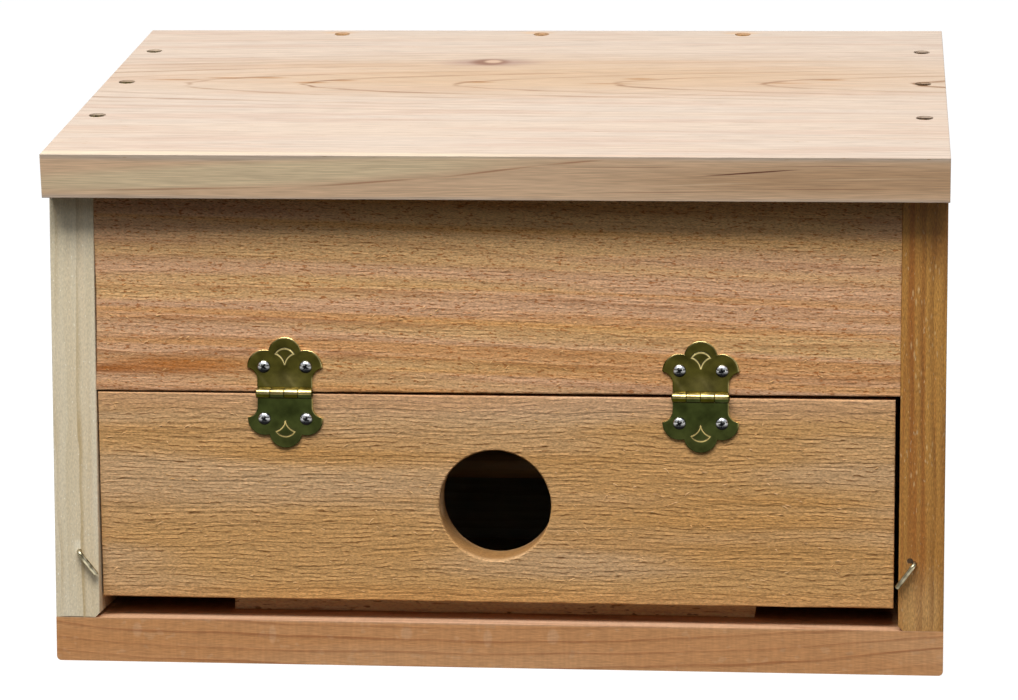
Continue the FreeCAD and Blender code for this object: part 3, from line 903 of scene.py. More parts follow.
# Yellow passivated zinc: olive gold, gone brown where it has weathered.
ZINC = Metal("yellow_zinc_plate", dull="1a150b", bright="6a5d30", dull_roughness=0.5, bright_roughness=0.38,
             cloud=1.2, cloud_depth=0.8, graze="3a3418")
BROWN_ZINC = Metal("browned_zinc_plate", dull="20130a", bright="5a4024", dull_roughness=0.55,
                   bright_roughness=0.45, cloud=1.2, cloud_depth=0.7, graze="3a2814")
# The back row is filled with wood dust, so it hardly shows.
DUSTED_ZINC = Metal("dusted_zinc_plate", dull="8f6a40", bright="b8905f", dull_roughness=0.8,
                    bright_roughness=0.7, cloud=1.2, cloud_depth=0.5, graze="bc9a70")
# Drawn wire, zinc and brass coloured: soft streaky shine.
WIRE = Metal("drawn_wire", dull="5b533a", bright="cfc4a4", dull_roughness=0.3, bright_roughness=0.28,
             cloud=3.0)


@dataclass
class PlanedBoards:
    """The planed boards, whose CAD shapes are right: they only take their finishes."""

    finishes: dict[str, Timber] = field(default_factory=lambda: {
        "roof_board": ROOF_CEDAR,
        "floor_board": BASE_CEDAR,
        "left_side": SAP_CEDAR,
        "right_side": HEART_CEDAR,
        "back_board": BACK_CEDAR,
    })
    ease: float = 0.3
    corner: float = math.radians(55)

    def dress(self) -> None:
        """Gives each board its wood and eases its arrises."""
        for node, timber in self.finishes.items():
            board = frame["nodes"][node]
            board.data.materials.clear()
            board.data.materials.append(timber.material())
            arris = board.modifiers.new("eased_arris", "BEVEL")
            arris.width = self.ease * MM
            arris.segments = 2
            arris.limit_method = "ANGLE"
            arris.angle_limit = self.corner
            log.info("%s: dressed with %s", node, timber.name)


@dataclass(frozen=True)
class Hole:
    """A round hole through a board and the rings that the drill scores in its wall, in millimetres."""

    x: float
    z: float
    radius: float
    ease: float = 0.5
    bore_rings: int = 10
    score: float = 0.12
    score_round: float = 6.0
    score_deep: float = 1.5
    score_start: float = 40.0


@dataclass(frozen=True)
class SawnFace:
    """How rough a sawn face is, in millimetres: wavering grooves, short torn fibres and a slow swell."""

    spacing: float = 2.5
    groove_share: float = 0.16
    groove_depth: float = 0.34
    broken_long: float = 14.0
    broken_rows: float = 0.8
    broken_start: float = 0.25
    broken_full: float = 0.85
    wander: float = 6.0
    wander_long: float = 60.0
    wander_tall: float = 22.0
    jitter: float = 1.1
    jitter_long: float = 9.0
    fibre_height: float = 0.14
    fibre_long: float = 3.2
    fibre_tall: float = 0.55
    swell: float = 0.16
    swell_long: float = 40.0
    swell_tall: float = 9.0
    seed: int = 1

    def relief(self, x: Array, z: Array) -> Array:
        """Height of the face above its plane.

        Grooves run along X at an even spacing of a level, which is z bent by a slow and a quick noise;
        each is a bell curve across, and a noise along it breaks it into dashes. Fine noise stands for
        torn fibres and a slow one for the swell of the saw's path.

        Args:
            x: Places along the board in millimetres.
            z: Places up the board in millimetres.

        Returns:
            Heights in millimetres, negative in the grooves.
        """
        bent = self.wander * value_noise(x / self.wander_long, z / self.wander_tall, self.seed)
        level = z + bent + self.jitter * value_noise(x / self.jitter_long, z / self.spacing, self.seed + 1)
        phase = level / self.spacing
        off = phase - np.rint(phase)
        dashes = value_noise(x / self.broken_long, self.broken_rows * phase, self.seed + 2)
        shown = smoothstep(self.broken_start, self.broken_full, dashes)
        groove = np.exp(-(off / self.groove_share) ** 2) * shown
        fibres = value_noise(x / self.fibre_long, level / self.fibre_tall, self.seed + 3) - 0.5
        swell = value_noise(x / self.swell_long, z / self.swell_tall, self.seed + 4) - 0.5
        return self.fibre_height * fibres + self.swell * swell - self.groove_depth * groove


@dataclass
class SawnBoard:
    """A rough-sawn board: a rippled front face, eased arrises, plain edges and a flat back."""

    # Shares of the ease at which the grid is closer near an edge, and where the even grid starts.
    CLOSE: ClassVar[tuple[float, ...]] = (0.0, 0.13, 0.3, 0.55)
    EVEN_START: ClassVar[float] = 1.2

    name: str
    node: str
    body: Body
    slot: str
    face: SawnFace
    finish: Timber
    low_rise_right: float = 0.0
    end_slant: float = 0.0
    top_drop: float = 0.0
    hole: Hole | None = None
    step_along: float = 1.15
    step_up: float = 0.3
    ease: float = 0.5
    ease_wander: float = 9.0
    smooth_margin: float = 2.5

    def stations(self, length: float, step: float) -> Array:
        """Shares of a length, even but closer at both ends, where the arris is rounded.

        Args:
            length: The board's length or height in millimetres.
            step: Distance between the even stations.

        Returns:
            Shares from 0 to 1.
        """
        close = np.array(self.CLOSE) * self.ease / length
        start = self.EVEN_START * self.ease / length
        even = np.linspace(start, 1 - start, round(length / step))
        return np.concatenate([close, even, 1 - close[::-1]])

    def front(self, low: Array, high: Array) -> tuple[Array, Array, Array]:
        """The front face as a function of two shares, along and up the board.

        x and z run evenly between the edges, and y falls back by a quarter circle within the ease
        of an edge and comes forward by the relief, which fades out towards the edges.

        Args:
            low: Lowest corner of the board in millimetres.
            high: Highest corner.

        Returns:
            x, y and z on the grid.
        """
        along, up = np.meshgrid(self.stations(high[0] - low[0], self.step_along),
                                self.stations(high[2] - low[2], self.step_up))
        width = high[0] - low[0] - self.end_slant * (1 - up)
        bottom = low[2] + self.low_rise_right * along
        height = high[2] - max(self.top_drop, 0.0) - bottom
        x, z = low[0] + along * width, bottom + up * height
        edge = np.minimum(np.minimum(along, 1 - along) * width, np.minimum(up, 1 - up) * height)
        ease = self.ease * (0.5 + value_noise(x / self.ease_wander, z / self.ease_wander, self.face.seed + 7))
        inset = np.clip(ease - edge, 0, None)
        round_back = ease - np.sqrt(np.clip(ease ** 2 - inset ** 2, 0, None))
        relief = self.face.relief(x, z) * smoothstep(0, self.smooth_margin, edge)
        return x, low[1] + round_back - relief, z

    def open_hole(self, x: Array, z: Array) -> tuple[Array, Array]:
        """Cuts the hole out of the grid.

        Cells wholly inside the rim go, and the points left inside move out to the rim along their
        radius, so that in the order of their angle they are the rim.

        Args:
            x: Grid places, moved in place.
            z: Grid places, moved in place.

        Returns:
            Which cells stay, and the rim's point numbers in order of angle.
        """
        if self.hole is None:
            return np.ones((x.shape[0] - 1, x.shape[1] - 1), bool), np.array([], int)
        rim = self.hole.radius + self.hole.ease
        dx, dz = x - self.hole.x, z - self.hole.z
        far = np.hypot(dx, dz)
        inside = far < rim
        gone = inside[:-1, :-1] & inside[:-1, 1:] & inside[1:, :-1] & inside[1:, 1:]
        touching = np.zeros(x.shape, bool)
        whole = np.zeros(x.shape, bool)
        for rows in (slice(None, -1), slice(1, None)):
            for cols in (slice(None, -1), slice(1, None)):
                touching[rows, cols] |= gone
                whole[rows, cols] |= ~gone
        on_rim = inside & touching & whole
        just_past, least = rim + 0.4 * self.step_up, 1e-9
        goal = np.where(on_rim, rim, np.where(inside & ~touching, just_past, far))
        outward = goal / np.maximum(far, least)
        x[:], z[:] = self.hole.x + dx * outward, self.hole.z + dz * outward
        numbers = np.flatnonzero(on_rim)
        return ~gone, numbers[np.argsort(np.arctan2(dz.ravel()[numbers], dx.ravel()[numbers]))]

    def build(self) -> None:
        """Makes the board: front grid, edge walls, bore and a back closed by triangles between its loops."""
        low, high = node_box(self.node, self.body)
        x, y, z = self.front(low, high)
        kept, rim = self.open_hole(x, z)
        rows, cols = x.shape
        number = np.arange(rows * cols).reshape(rows, cols)
        border = np.concatenate([number[0, :-1], number[:-1, -1], number[-1, :0:-1], number[:0:-1, 0]])
        front = np.stack([x, y, z], -1).reshape(-1, 3)
        back_edge = front[border]
        back_edge[:, 1] = high[1]
        top = high[2] - max(self.top_drop, 0.0)
        back_edge[:, 2] += self.top_drop * (back_edge[:, 2] > top - self.ease)
        points = [front, back_edge]
        after = rows * cols + np.arange(len(border))
        beside, after_beside = np.roll(border, -1), np.roll(after, -1)
        faces = [grid_faces(rows, cols)[kept.ravel()], np.stack([beside, border, after, after_beside], -1)]
        start = rows * cols + len(border)
        if self.hole is None:
            points.append(back_edge.mean(axis=0)[None])
            faces.append(np.stack([after_beside, after, np.full(len(after), start)], -1))
        else:
            bore, bore_faces, inner = self.bore(front[rim], rim, high[1], start)
            points.append(bore)
            faces += [bore_faces, self.zip_back(np.concatenate(points), after, inner)]
        piece = make_piece(self.name, hung(np.concatenate(points), self.body), faces)
        fit(piece, self.body, self.slot, self.finish.material(), self.node)

    def bore(self, rim: Array, rim_numbers: Array, back: float, start: int) -> tuple[Array, Array, Array]:
        """The wall of the hole as a function of angle and depth, with shallow drilling rings.

        Args:
            rim: The rim's places in order of angle.
            rim_numbers: Their point numbers.
            back: Depth of the back face in millimetres.
            start: Number of the wall's first point.

        Returns:
            The wall's points, its quads and the numbers of its last ring.
        """
        hole = self.hole
        count = len(rim)
        angle = np.arctan2(rim[:, 2] - hole.z, rim[:, 0] - hole.x)[None, :]
        share = np.linspace(0, 1, hole.bore_rings + 1)[1:, None]
        front = rim[None, :, 1] + hole.ease
        depth = front + (back - front) * (share - share[0]) / (1 - share[0])
        around = hole.score_round * angle + hole.score_start
        scored = value_noise(around, depth / hole.score_deep, self.face.seed + 5) - 0.5
        radius = hole.radius + hole.score * scored
        wall = np.stack([hole.x + radius * np.cos(angle), depth, hole.z + radius * np.sin(angle)], -1)
        numbers = start + np.arange(hole.bore_rings * count).reshape(-1, count)
        every = np.concatenate([rim_numbers[None], numbers])
        beside = np.roll(every, -1, axis=1)
        quads = np.stack([every[:-1], beside[:-1], beside[1:], every[1:]], -1).reshape(-1, 4)
        return wall.reshape(-1, 3), quads, numbers[-1]

    def zip_back(self, points: Array, outer: Array, inner: Array) -> Array:
        """Triangles between the back's two loops, taken in the order of angle about the hole.

        Args:
            points: All places so far.
            outer: Point numbers of the board's back edge.
            inner: Point numbers of the hole's back edge, in order of angle.

        Returns:
            Point numbers, three to a face.
        """
        loops = []
        for loop in (outer, inner):
            angle = np.arctan2(points[loop, 2] - self.hole.z, points[loop, 0] - self.hole.x)
            order = np.argsort(angle)
            loops.append((loop[order], angle[order]))
        (outer, outer_angle), (inner, inner_angle) = loops
        is_outer = np.concatenate([np.ones(len(outer), bool), np.zeros(len(inner), bool)])
        is_outer = is_outer[np.argsort(np.concatenate([outer_angle, inner_angle]), kind="stable")]
        on_outer = (np.cumsum(is_outer) - is_outer - 1) % len(outer)
        on_inner = (np.cumsum(~is_outer) - ~is_outer - 1) % len(inner)
        ahead = np.where(is_outer, outer[(on_outer + 1) % len(outer)], inner[(on_inner + 1) % len(inner)])
        return np.stack([outer[on_outer], inner[on_inner], ahead], -1)


@dataclass
class Splinters:
    """Torn fibres that stand up from a sawn face: thin tapering slivers that curl outwards."""

    name: str
    node: str
    body: Body
    slot: str
    finish: Timber
    count: int
    seed: int
    longest: float = 3.8
    shortest: float = 1.2
    width: float = 0.55
    taper: float = 0.9
    flatness: float = 0.45
    lift: float = 1.0
    least_lift: float = 0.3
    sunk: float = 0.15
    slew: float = 0.5
    curl: float = 1.4
    margin: float = 4.0
    keep_off: tuple[Point, ...] = ()
    stations: int = 4

    def roots(self, low: Array, high: Array, rng: np.random.Generator) -> tuple[Array, Array]:
        """Places on the face where slivers start, clear of the edges and of what lies on the face.

        Args:
            low: Lowest corner of the board in millimetres.
            high: Highest corner.
            rng: The random draws.

        Returns:
            x and z of each root.
        """
        drawn = rng.random((3 * self.count, 2))
        x = low[0] + self.margin + drawn[:, 0] * (high[0] - low[0] - 2 * self.margin)
        z = low[2] + self.margin + drawn[:, 1] * (high[2] - low[2] - 2 * self.margin)
        clear = np.ones(len(x), bool)
        for centre_x, centre_z, radius in self.keep_off:
            clear &= np.hypot(x - centre_x, z - centre_z) > radius
        return x[clear][:self.count], z[clear][:self.count]

    def build(self) -> None:
        """Makes the slivers: each is a flat diamond carried along a curl and drawn in to a tip."""
        low, high = node_box(self.node, self.body)
        rng = np.random.default_rng(self.seed)
        x, z = self.roots(low, high, rng)
        drawn = rng.random((6, len(x), 1, 1))
        length = self.shortest + (self.longest - self.shortest) * drawn[0] ** 2
        heading = np.where(drawn[1] < 0.5, 0.0, np.pi) + self.slew * (drawn[2] - 0.5)
        share = np.linspace(0, 1, self.stations)[None, :, None]
        around = np.arange(4)[None, None, :] * np.pi / 2
        curl = heading + self.curl * (drawn[3] - 0.5) * share
        half = 0.5 * self.width * (0.5 + drawn[4]) * (1 - self.taper * share ** 1.5)
        lift = self.least_lift + (1 - self.least_lift) * drawn[5]
        rise = self.lift * lift * share ** 1.4 - self.sunk
        side = half * np.cos(around)
        px = x[:, None, None] + length * share * np.cos(curl) - side * np.sin(curl)
        pz = z[:, None, None] + length * share * np.sin(curl) + side * np.cos(curl)
        py = low[1] - rise - self.flatness * half * np.sin(around)
        points, faces = skin(np.stack([px, py, pz], -1))
        piece = make_piece(self.name, hung(points, self.body), faces)
        fit(piece, self.body, self.slot, self.finish.material())


@dataclass
class Perches:
    """The dowels across the inside: rods with eased ends, a hair out of round, in millimetres."""

    # Shares of the ease at which the rounded ends have stations.
    END_SHARES: ClassVar[tuple[float, ...]] = (0.0, 0.1, 0.3, 0.6, 1.0)

    nodes: tuple[str, ...] = ("perch_low", "perch_front", "perch_rear")
    ease: float = 0.6
    around: int = 40
    stations: int = 40
    end_room: float = 8.0
    wander: float = 0.06
    wander_long: float = 60.0
    wander_round: float = 3.0
    wander_start: float = 9.0

    def build(self) -> None:
        """Makes each dowel: a circle carried along X whose radius falls by a quarter circle at the ends."""
        turn = circle(self.around)
        inset = self.ease * np.array(self.END_SHARES)
        for seed, node in enumerate(self.nodes):
            low, high = node_box(node)
            middle, radius = (low + high) / 2, (high[2] - low[2]) / 2
            inner = np.linspace(low[0] + self.end_room, high[0] - self.end_room, self.stations)
            along = np.concatenate([low[0] + inset, inner, high[0] - inset[::-1]])[:, None]
            edge = np.clip(self.ease - np.minimum(along - low[0], high[0] - along), 0, None)
            size = radius - self.ease + np.sqrt(self.ease ** 2 - edge ** 2)
            drawn = value_noise(along / self.wander_long + self.wander_start,
                                self.wander_round * np.cos(turn) + self.wander_start, seed)
            spread = size + self.wander * (drawn - 1.0)
            ring = (along, middle[1] + spread * np.cos(turn), middle[2] + spread * np.sin(turn))
            points, faces = skin(np.stack(np.broadcast_arrays(*ring), -1)[None])
            fit(make_piece(node + "_dowel", points, faces), Body.BOX, "dowel", DOWEL.material(), node)


@dataclass(frozen=True)
class ScrewForm:
    """A screw turned about its axis, with a cross recess pressed into its head, in millimetres."""

    # Share of the head where its rings start, half slope of the cross's walls, and the share of an
    # arm over which the recess is at its full depth.
    HEAD_START: ClassVar[float] = 0.03
    WALL: ClassVar[float] = 0.07
    FULL_DEPTH: ClassVar[float] = 0.35
    # Rings to a turn of the thread, and how far and in how many rings the point narrows.
    TURN_RINGS: ClassVar[int] = 6
    TIP: ClassVar[float] = 0.04
    TIP_RINGS: ClassVar[int] = 6

    length: float
    head: float
    crown: float
    edge: float
    neck: float
    shank: float
    point: float
    pitch: float
    thread: float
    cross_reach: float
    cross_half: float
    cross_depth: float
    around: int = 64
    head_rows: int = 26

    def rings(self, spin: float) -> tuple[Array, Array]:
        """The screw as a function of station and turn, its axis along the third coordinate.

        The head's top is a dome of the crown's height less a cross with sloping walls; below its
        edge a cone narrows to the shank, whose radius gains a ridge that climbs one pitch a turn.

        Args:
            spin: Turn of the cross in radians.

        Returns:
            Places in the shape (stations, around, 3), and the wear and painted light of each, with painted
            shade in the cross.
        """
        turn = circle(self.around)
        share = np.linspace(self.HEAD_START, 1, self.head_rows)[:, None]
        radius = self.head * np.sin(share * np.pi / 2)
        dome = -self.crown * np.sqrt(np.clip(1 - (radius / self.head) ** 2, 0, None))
        a, b = radius * np.cos(turn - spin), radius * np.sin(turn - spin)
        cross = np.zeros_like(a)
        for along, over in ((np.abs(a), np.abs(b)), (np.abs(b), np.abs(a))):
            arm = smoothstep(self.cross_half + self.WALL, self.cross_half - self.WALL, over)
            reach = smoothstep(self.cross_reach, self.FULL_DEPTH * self.cross_reach, along)
            cross = np.maximum(cross, arm * reach)
        head = (radius * np.cos(turn), radius * np.sin(turn), dome + self.cross_depth * cross)
        top = np.stack(np.broadcast_arrays(*head), -1)
        down = np.arange(self.neck, self.length - self.point, self.pitch / self.TURN_RINGS)
        ridge = np.clip(np.cos(2 * np.pi * down[:, None] / self.pitch - turn), 0, None) ** 3
        taper = np.linspace(1, self.TIP, self.TIP_RINGS)
        even = np.ones_like(turn)
        shank = np.concatenate([self.head * even, self.shank * even, self.shank + self.thread * ridge,
                                self.shank * taper[:, None] * even])
        depth = np.concatenate([[self.edge], [self.neck], down, self.length - self.point * taper])[:, None]
        low = np.stack(np.broadcast_arrays(shank * np.cos(turn), shank * np.sin(turn), depth), -1)
        # The cross recess is painted shade: its number is 0 there.
        wear_and_light = np.concatenate([1 - cross, np.ones(shank.shape)])
        return np.concatenate([top, low]), wear_and_light


@dataclass
class ScrewRow:
    """A row of alike screws that stands for one CAD node."""

    node: str
    count: int
    drive: Drive
    form: ScrewForm
    body: Body
    slot: str
    finish: Metal
    raised: float = 0.0
    shade: Span = (-0.5, 0.35)

    def heads(self) -> Array:
        """Spreads the heads' seats evenly between the two ends of the node's box.

        Returns:
            Places in millimetres, one to a screw.
        """
        low, high = node_box(self.node, self.body)
        way = np.array(self.drive.value)
        reach = np.where(way == 0, self.form.head, 0.0)
        first, last = low + reach, high - reach
        whole = self.form.length + self.form.crown
        first = first + np.where(way < 0, whole, 0.0)
        last = last - np.where(way > 0, whole, 0.0)
        share = np.linspace(0, 1, self.count)[:, None]
        return first + share * (last - first) + way * (self.form.crown - self.raised)

    def build(self) -> None:
        """Makes the row: each screw's rings turned along the drive and moved to its seat."""
        way = Vector(self.drive.value)
        turn = np.array(way.to_track_quat("Z", "Y").to_matrix())
        rng = np.random.default_rng(len(self.node))
        rings, wear_and_light = zip(*(self.form.rings(spin) for spin in rng.random(self.count) * np.pi))
        turned = np.stack(rings) @ turn.T
        points, faces = skin(turned + self.heads()[:, None, None, :])
        # Heads of screws driven sideways get painted shade over their lower halves.
        looking_up = smoothstep(*self.shade, turned[..., 2] / self.form.head) if way.z == 0 else 1.0
        shine = np.stack(wear_and_light) * looking_up
        ends = shine[:, [0, -1]].mean(axis=2)
        values = np.concatenate([shine.reshape(self.count, -1), ends], axis=1)
        piece = make_piece(self.node + "_row", hung(points, self.body), faces, {WEAR_AND_LIGHT: values})
        fit(piece, self.body, self.slot, self.finish.material(), self.node)


def arc(centre: Array, radius: float, start: Array, end: Array, count: int = 80) -> Array:
    """Even points round a centre, the shorter way.

    Args:
        centre: The arc's centre.
        radius: Its radius.
        start: A place in the direction of its first point.
        end: A place in the direction of its last point.
        count: How many points.

    Returns:
        The points, one to a row.
    """
    a0, a1 = (math.atan2(*(p - centre)[::-1]) for p in (start, end))
    a1 = a0 + (a1 - a0 + math.pi) % (2 * math.pi) - math.pi
    angle = np.linspace(a0, a1, count)
    return centre + radius * np.stack([np.cos(angle), np.sin(angle)], -1)


@dataclass
class Hinge:
    """A stamped hinge: two alike leaves with a pressed fan, rolled into knuckles round the pin.

    Leaf places are (x, v) in millimetres, v being the distance from the pin along the leaf. Wear, with
    the painted highlights and painted shade that it carries, goes from 0 to 1.
    """

    # Share of the outline where the leaf's rings start, how many roundings of the edge from the outline
    # the flat ones end, and how many rings go round the edge.
    START: ClassVar[float] = 0.02
    FLAT_END: ClassVar[float] = 1.6
    RIM_RINGS: ClassVar[int] = 5
    # Rings along a knuckle's lead and its roll, and points round its strip.
    LEAD_RINGS: ClassVar[int] = 6
    ROLL_RINGS: ClassVar[int] = 60
    STRIP_POINTS: ClassVar[int] = 24
    # Places this far off carry no fan line, and a line runs on a little past its corners.
    OUT_OF_REACH: ClassVar[float] = 9.0
    RUN_ON: ClassVar[float] = 0.2

    hand: Hand
    thickness: float = 0.9
    length: float = 23.9
    neck: float = 5.7
    foot: float = 1.75
    lobe_radius: float = 7.2
    tip_drop: float = 0.4
    screw_reach: float = 9.0
    screw_rise: float = 11.25
    knuckle_length: float = 23.8
    knuckle_count: int = 4
    knuckle_gap: float = 0.15
    knuckle_radius: float = 2.2
    knuckle_corner: float = 0.2
    knuckle_turn: float = 300.0
    knuckle_lap: float = 0.5
    plate_offset: float = 2.05
    middle: float = 11.0
    around: int = 360
    rings_across: int = 60
    edge_round: float = 0.3
    press_height: float = 0.24
    press_half: float = 0.27
    bow: float = 0.12
    fan_half: float = 3.9
    fan_low: float = 12.0
    fan_side: float = 16.8
    fan_top: float = 19.0
    fan_hollow: float = 5.0
    fan_polish: float = 0.85
    fan_uneven: float = 0.15
    flat_wear: float = 0.025
    crown_wear: float = 0.015
    crown_from: float = 7.7
    sheen: float = 0.04
    sheen_middle: float = 1.0
    sheen_half: float = 7.0
    sheen_full: float = 5.5
    sheen_streaks: Span = (6.4, -5.3)
    streak_lean: float = 0.75
    streak_half: float = 1.1
    rim_band: float = 0.75
    rim_to_right: float = 0.45
    roll_forward: float = 0.3
    roll_shade: Span = (0.2, 0.45)
    roll_end: float = 0.07

    def outline(self) -> Array:
        """The leaf's edge: straight foot and neck, hollow flare, lobe and crown arcs, mirrored in x.

        Returns:
            Evenly spaced points (x, v).
        """
        half = self.knuckle_length / 2
        lobe = np.array([self.screw_reach, self.screw_rise])
        crown = np.array([0.0, self.length - self.lobe_radius])
        tip = lobe + np.array([math.sqrt(self.lobe_radius ** 2 - self.tip_drop ** 2), -self.tip_drop])
        flare = ((tip[0] - half) ** 2 + (tip[1] - self.neck) ** 2) / (2 * (tip[0] - half))
        flare_middle = np.array([half + flare, self.neck])
        between = crown - lobe
        across = np.array([between[1], -between[0]]) / np.hypot(*between)
        notch = (crown + lobe) / 2 + across * math.sqrt(self.lobe_radius ** 2 - (between @ between) / 4)
        foot, shoulder = np.array([half, self.foot]), np.array([half, self.neck])
        right = np.concatenate([
            np.array([[0.0, self.foot], foot]), arc(flare_middle, flare, shoulder, tip),
            arc(lobe, self.lobe_radius, tip, notch),
            arc(crown, self.lobe_radius, notch, np.array([0.0, self.length])),
        ])
        whole = np.concatenate([right, right[::-1] * [-1, 1]])
        travel = np.concatenate([[0], np.cumsum(np.hypot(*np.diff(whole, axis=0).T))])
        even = np.linspace(0, travel[-1], self.around, endpoint=False)
        return np.stack([np.interp(even, travel, whole[:, k]) for k in (0, 1)], -1)

    def fan(self, x: Array, v: Array) -> Array:
        """How near a place on the leaf is to the pressed fan's lines.

        A convex arc tops the fan, and two hollow arcs run from its ends to a point below; each line
        falls off as a bell curve of the distance from its arc.

        Args:
            x: Places across the leaf.
            v: Places up the leaf.

        Returns:
            1 on a line, down to 0 away from it.
        """
        away, past = self.OUT_OF_REACH, self.RUN_ON
        rise = self.fan_top ** 2 - self.fan_side ** 2 - self.fan_half ** 2
        rise = rise / (2 * (self.fan_top - self.fan_side))
        top = np.abs(np.hypot(x, v - rise) - (self.fan_top - rise)) + away * (v < self.fan_side - past)
        low, side = np.array([0.0, self.fan_low]), np.array([self.fan_half, self.fan_side])
        chord = side - low
        centre = (low + side) / 2 + self.fan_hollow * np.array([chord[1], -chord[0]]) / np.hypot(*chord)
        radius = np.hypot(*(side - centre))
        sides = np.abs(np.hypot(np.abs(x) - centre[0], v - centre[1]) - radius)
        beyond = (v < self.fan_low) | (v > self.fan_side + past) | (np.abs(x) > self.fan_half + past)
        near = np.minimum(top, sides + away * beyond)
        return np.exp(-(near / self.press_half) ** 2)

    def plate(self, leaf: Leaf) -> tuple[Array, Array]:
        """The flat of a leaf: its outline scaled from the middle out, over the edge and back in.

        Places are (x, outward, v). The front bows slightly and carries the fan, and the edge is a
        quarter round. Edges that look up carry a painted highlight along the rim, and the fan's lines carry
        wear with a painted highlight stronger on one side.

        Args:
            leaf: Which leaf, and so which of its edges look up.

        Returns:
            Rings in the shape (stations, around, 3), and the wear and painted light of each point.
        """
        edge = self.outline()
        size = np.hypot(*(edge - [0, self.middle]).T).mean()
        rim = np.linspace(0, np.pi / 2, self.RIM_RINGS)
        inner = np.linspace(self.START, 1 - self.FLAT_END * self.edge_round / size, self.rings_across)
        over_edge = 1 - self.edge_round / size * (1 - np.sin(rim))
        share = np.concatenate([inner, over_edge, [1.0, 0.5, self.START]])[:, None]
        fall = np.concatenate([np.zeros(self.rings_across), self.edge_round * (1 - np.cos(rim)),
                               [self.thickness] * 3])[:, None]
        x = edge[None, :, 0] * share
        v = self.middle + (edge[None, :, 1] - self.middle) * share
        front = np.arange(len(share))[:, None] < self.rings_across
        fan = self.fan(x, v) * front
        out = self.thickness - fall + front * (self.bow * (1 - share ** 2) + self.press_height * fan)
        tangent = np.roll(edge, -1, axis=0) - np.roll(edge, 1, axis=0)
        upward = leaf.value * (self.rim_to_right * tangent[:, 1] - tangent[:, 0]) / np.hypot(*tangent.T)
        # Painted highlight along the rim where the edge looks up.
        rim_highlight = smoothstep(1 - self.rim_band / size, 1.0, share) * smoothstep(0.0, 1.0, upward)
        # The fan's lines carry wear, and a painted highlight that is stronger on one side.
        uneven = np.tanh(leaf.value * x / 2) * np.sign(self.fan_side - v)
        fan_wear_and_highlight = (self.fan_polish - self.fan_uneven * uneven) * fan
        wear_and_light = fan_wear_and_highlight + rim_highlight + front * self.flat(leaf, x, v)
        return np.stack([x, out, v], -1), np.clip(wear_and_light, 0, 1)

    def flat(self, leaf: Leaf, x: Array, v: Array) -> Array:
        """Light wear and a painted sheen of a leaf's flat.

        The lower leaf's wear grows from its middle to its crown. The upper leaf's is even, with a faint
        painted sheen near the pin that stands for a reflection: a wide bell curve across the leaf and two
        slanting streaks.

        Args:
            leaf: Which leaf.
            x: Places across the leaf.
            v: Places up the leaf.

        Returns:
            The wear and painted sheen of each place.
        """
        if leaf is Leaf.LOWER:
            return self.crown_wear * smoothstep(self.crown_from, self.length, v)
        sheen = np.exp(-((x - self.sheen_middle) / self.sheen_half) ** 2)
        for start in self.sheen_streaks:
            sheen = sheen + np.exp(-((x + self.streak_lean * v - start) / self.streak_half) ** 2)
        return self.flat_wear + self.sheen * sheen * smoothstep(self.middle, self.sheen_full, v)

    def knuckle(self, index: int) -> Array:
        """One rolled knuckle: a round-cornered strip carried from the leaf round the pin.

        The path comes down the leaf's middle plane and goes most of the way round the pin; the
        strip is as wide as the knuckle and as thick as the leaf. Places are (x, outward, v).

        Args:
            index: The knuckle's number from one end.

        Returns:
            Rings in the shape (stations, around, 3).
        """
        pitch = (self.knuckle_length + self.knuckle_gap) / self.knuckle_count
        width = pitch - self.knuckle_gap
        centre_x = index * pitch - self.knuckle_length / 2 + width / 2
        mid = self.knuckle_radius - self.thickness / 2
        lead = np.linspace(1, 0, self.LEAD_RINGS + 1)[:-1]
        roll = np.radians(np.linspace(0, self.knuckle_turn, self.ROLL_RINGS))
        back = np.concatenate([mid + (self.plate_offset - mid) * smoothstep(0, 1, lead), mid * np.cos(roll)])
        rise = np.concatenate([(self.foot + self.knuckle_lap) * lead, -mid * np.sin(roll)])
        normal_back = np.concatenate([np.ones(len(lead)), np.cos(roll)])[:, None]
        normal_up = np.concatenate([np.zeros(len(lead)), -np.sin(roll)])[:, None]
        corner = self.knuckle_corner
        turn = circle(self.STRIP_POINTS) + np.pi / self.STRIP_POINTS
        along = np.sign(np.cos(turn)) * (width / 2 - corner) + corner * np.cos(turn)
        thick = np.sign(np.sin(turn)) * (self.thickness / 2 - corner) + corner * np.sin(turn)
        places = (centre_x + along, -(back[:, None] + normal_back * thick), rise[:, None] + normal_up * thick)
        return np.stack(np.broadcast_arrays(*places), -1)

    def build(self) -> None:
        """Makes both leaves and dresses the pin."""
        name = self.hand.name.lower() + "_hinge_"
        low, high = node_box(name + "pin")
        pin = (low + high) / 2
        for leaf, body, brass in ((Leaf.UPPER, Body.BOX, BRASS), (Leaf.LOWER, Body.DOOR, DARK_BRASS)):
            plate, wear_and_light = self.plate(leaf)
            sign = np.array([leaf.value, -1.0, leaf.value])
            board = pin + [0.0, self.plate_offset + self.thickness / 2, 0.0]
            points, faces = skin((board + plate * sign)[None])
            rolls = np.stack([self.knuckle(index) for index in range(0, self.knuckle_count, 2)])
            more, more_faces = skin(pin + rolls * sign)
            faces += [group + len(points) for group in more_faces]
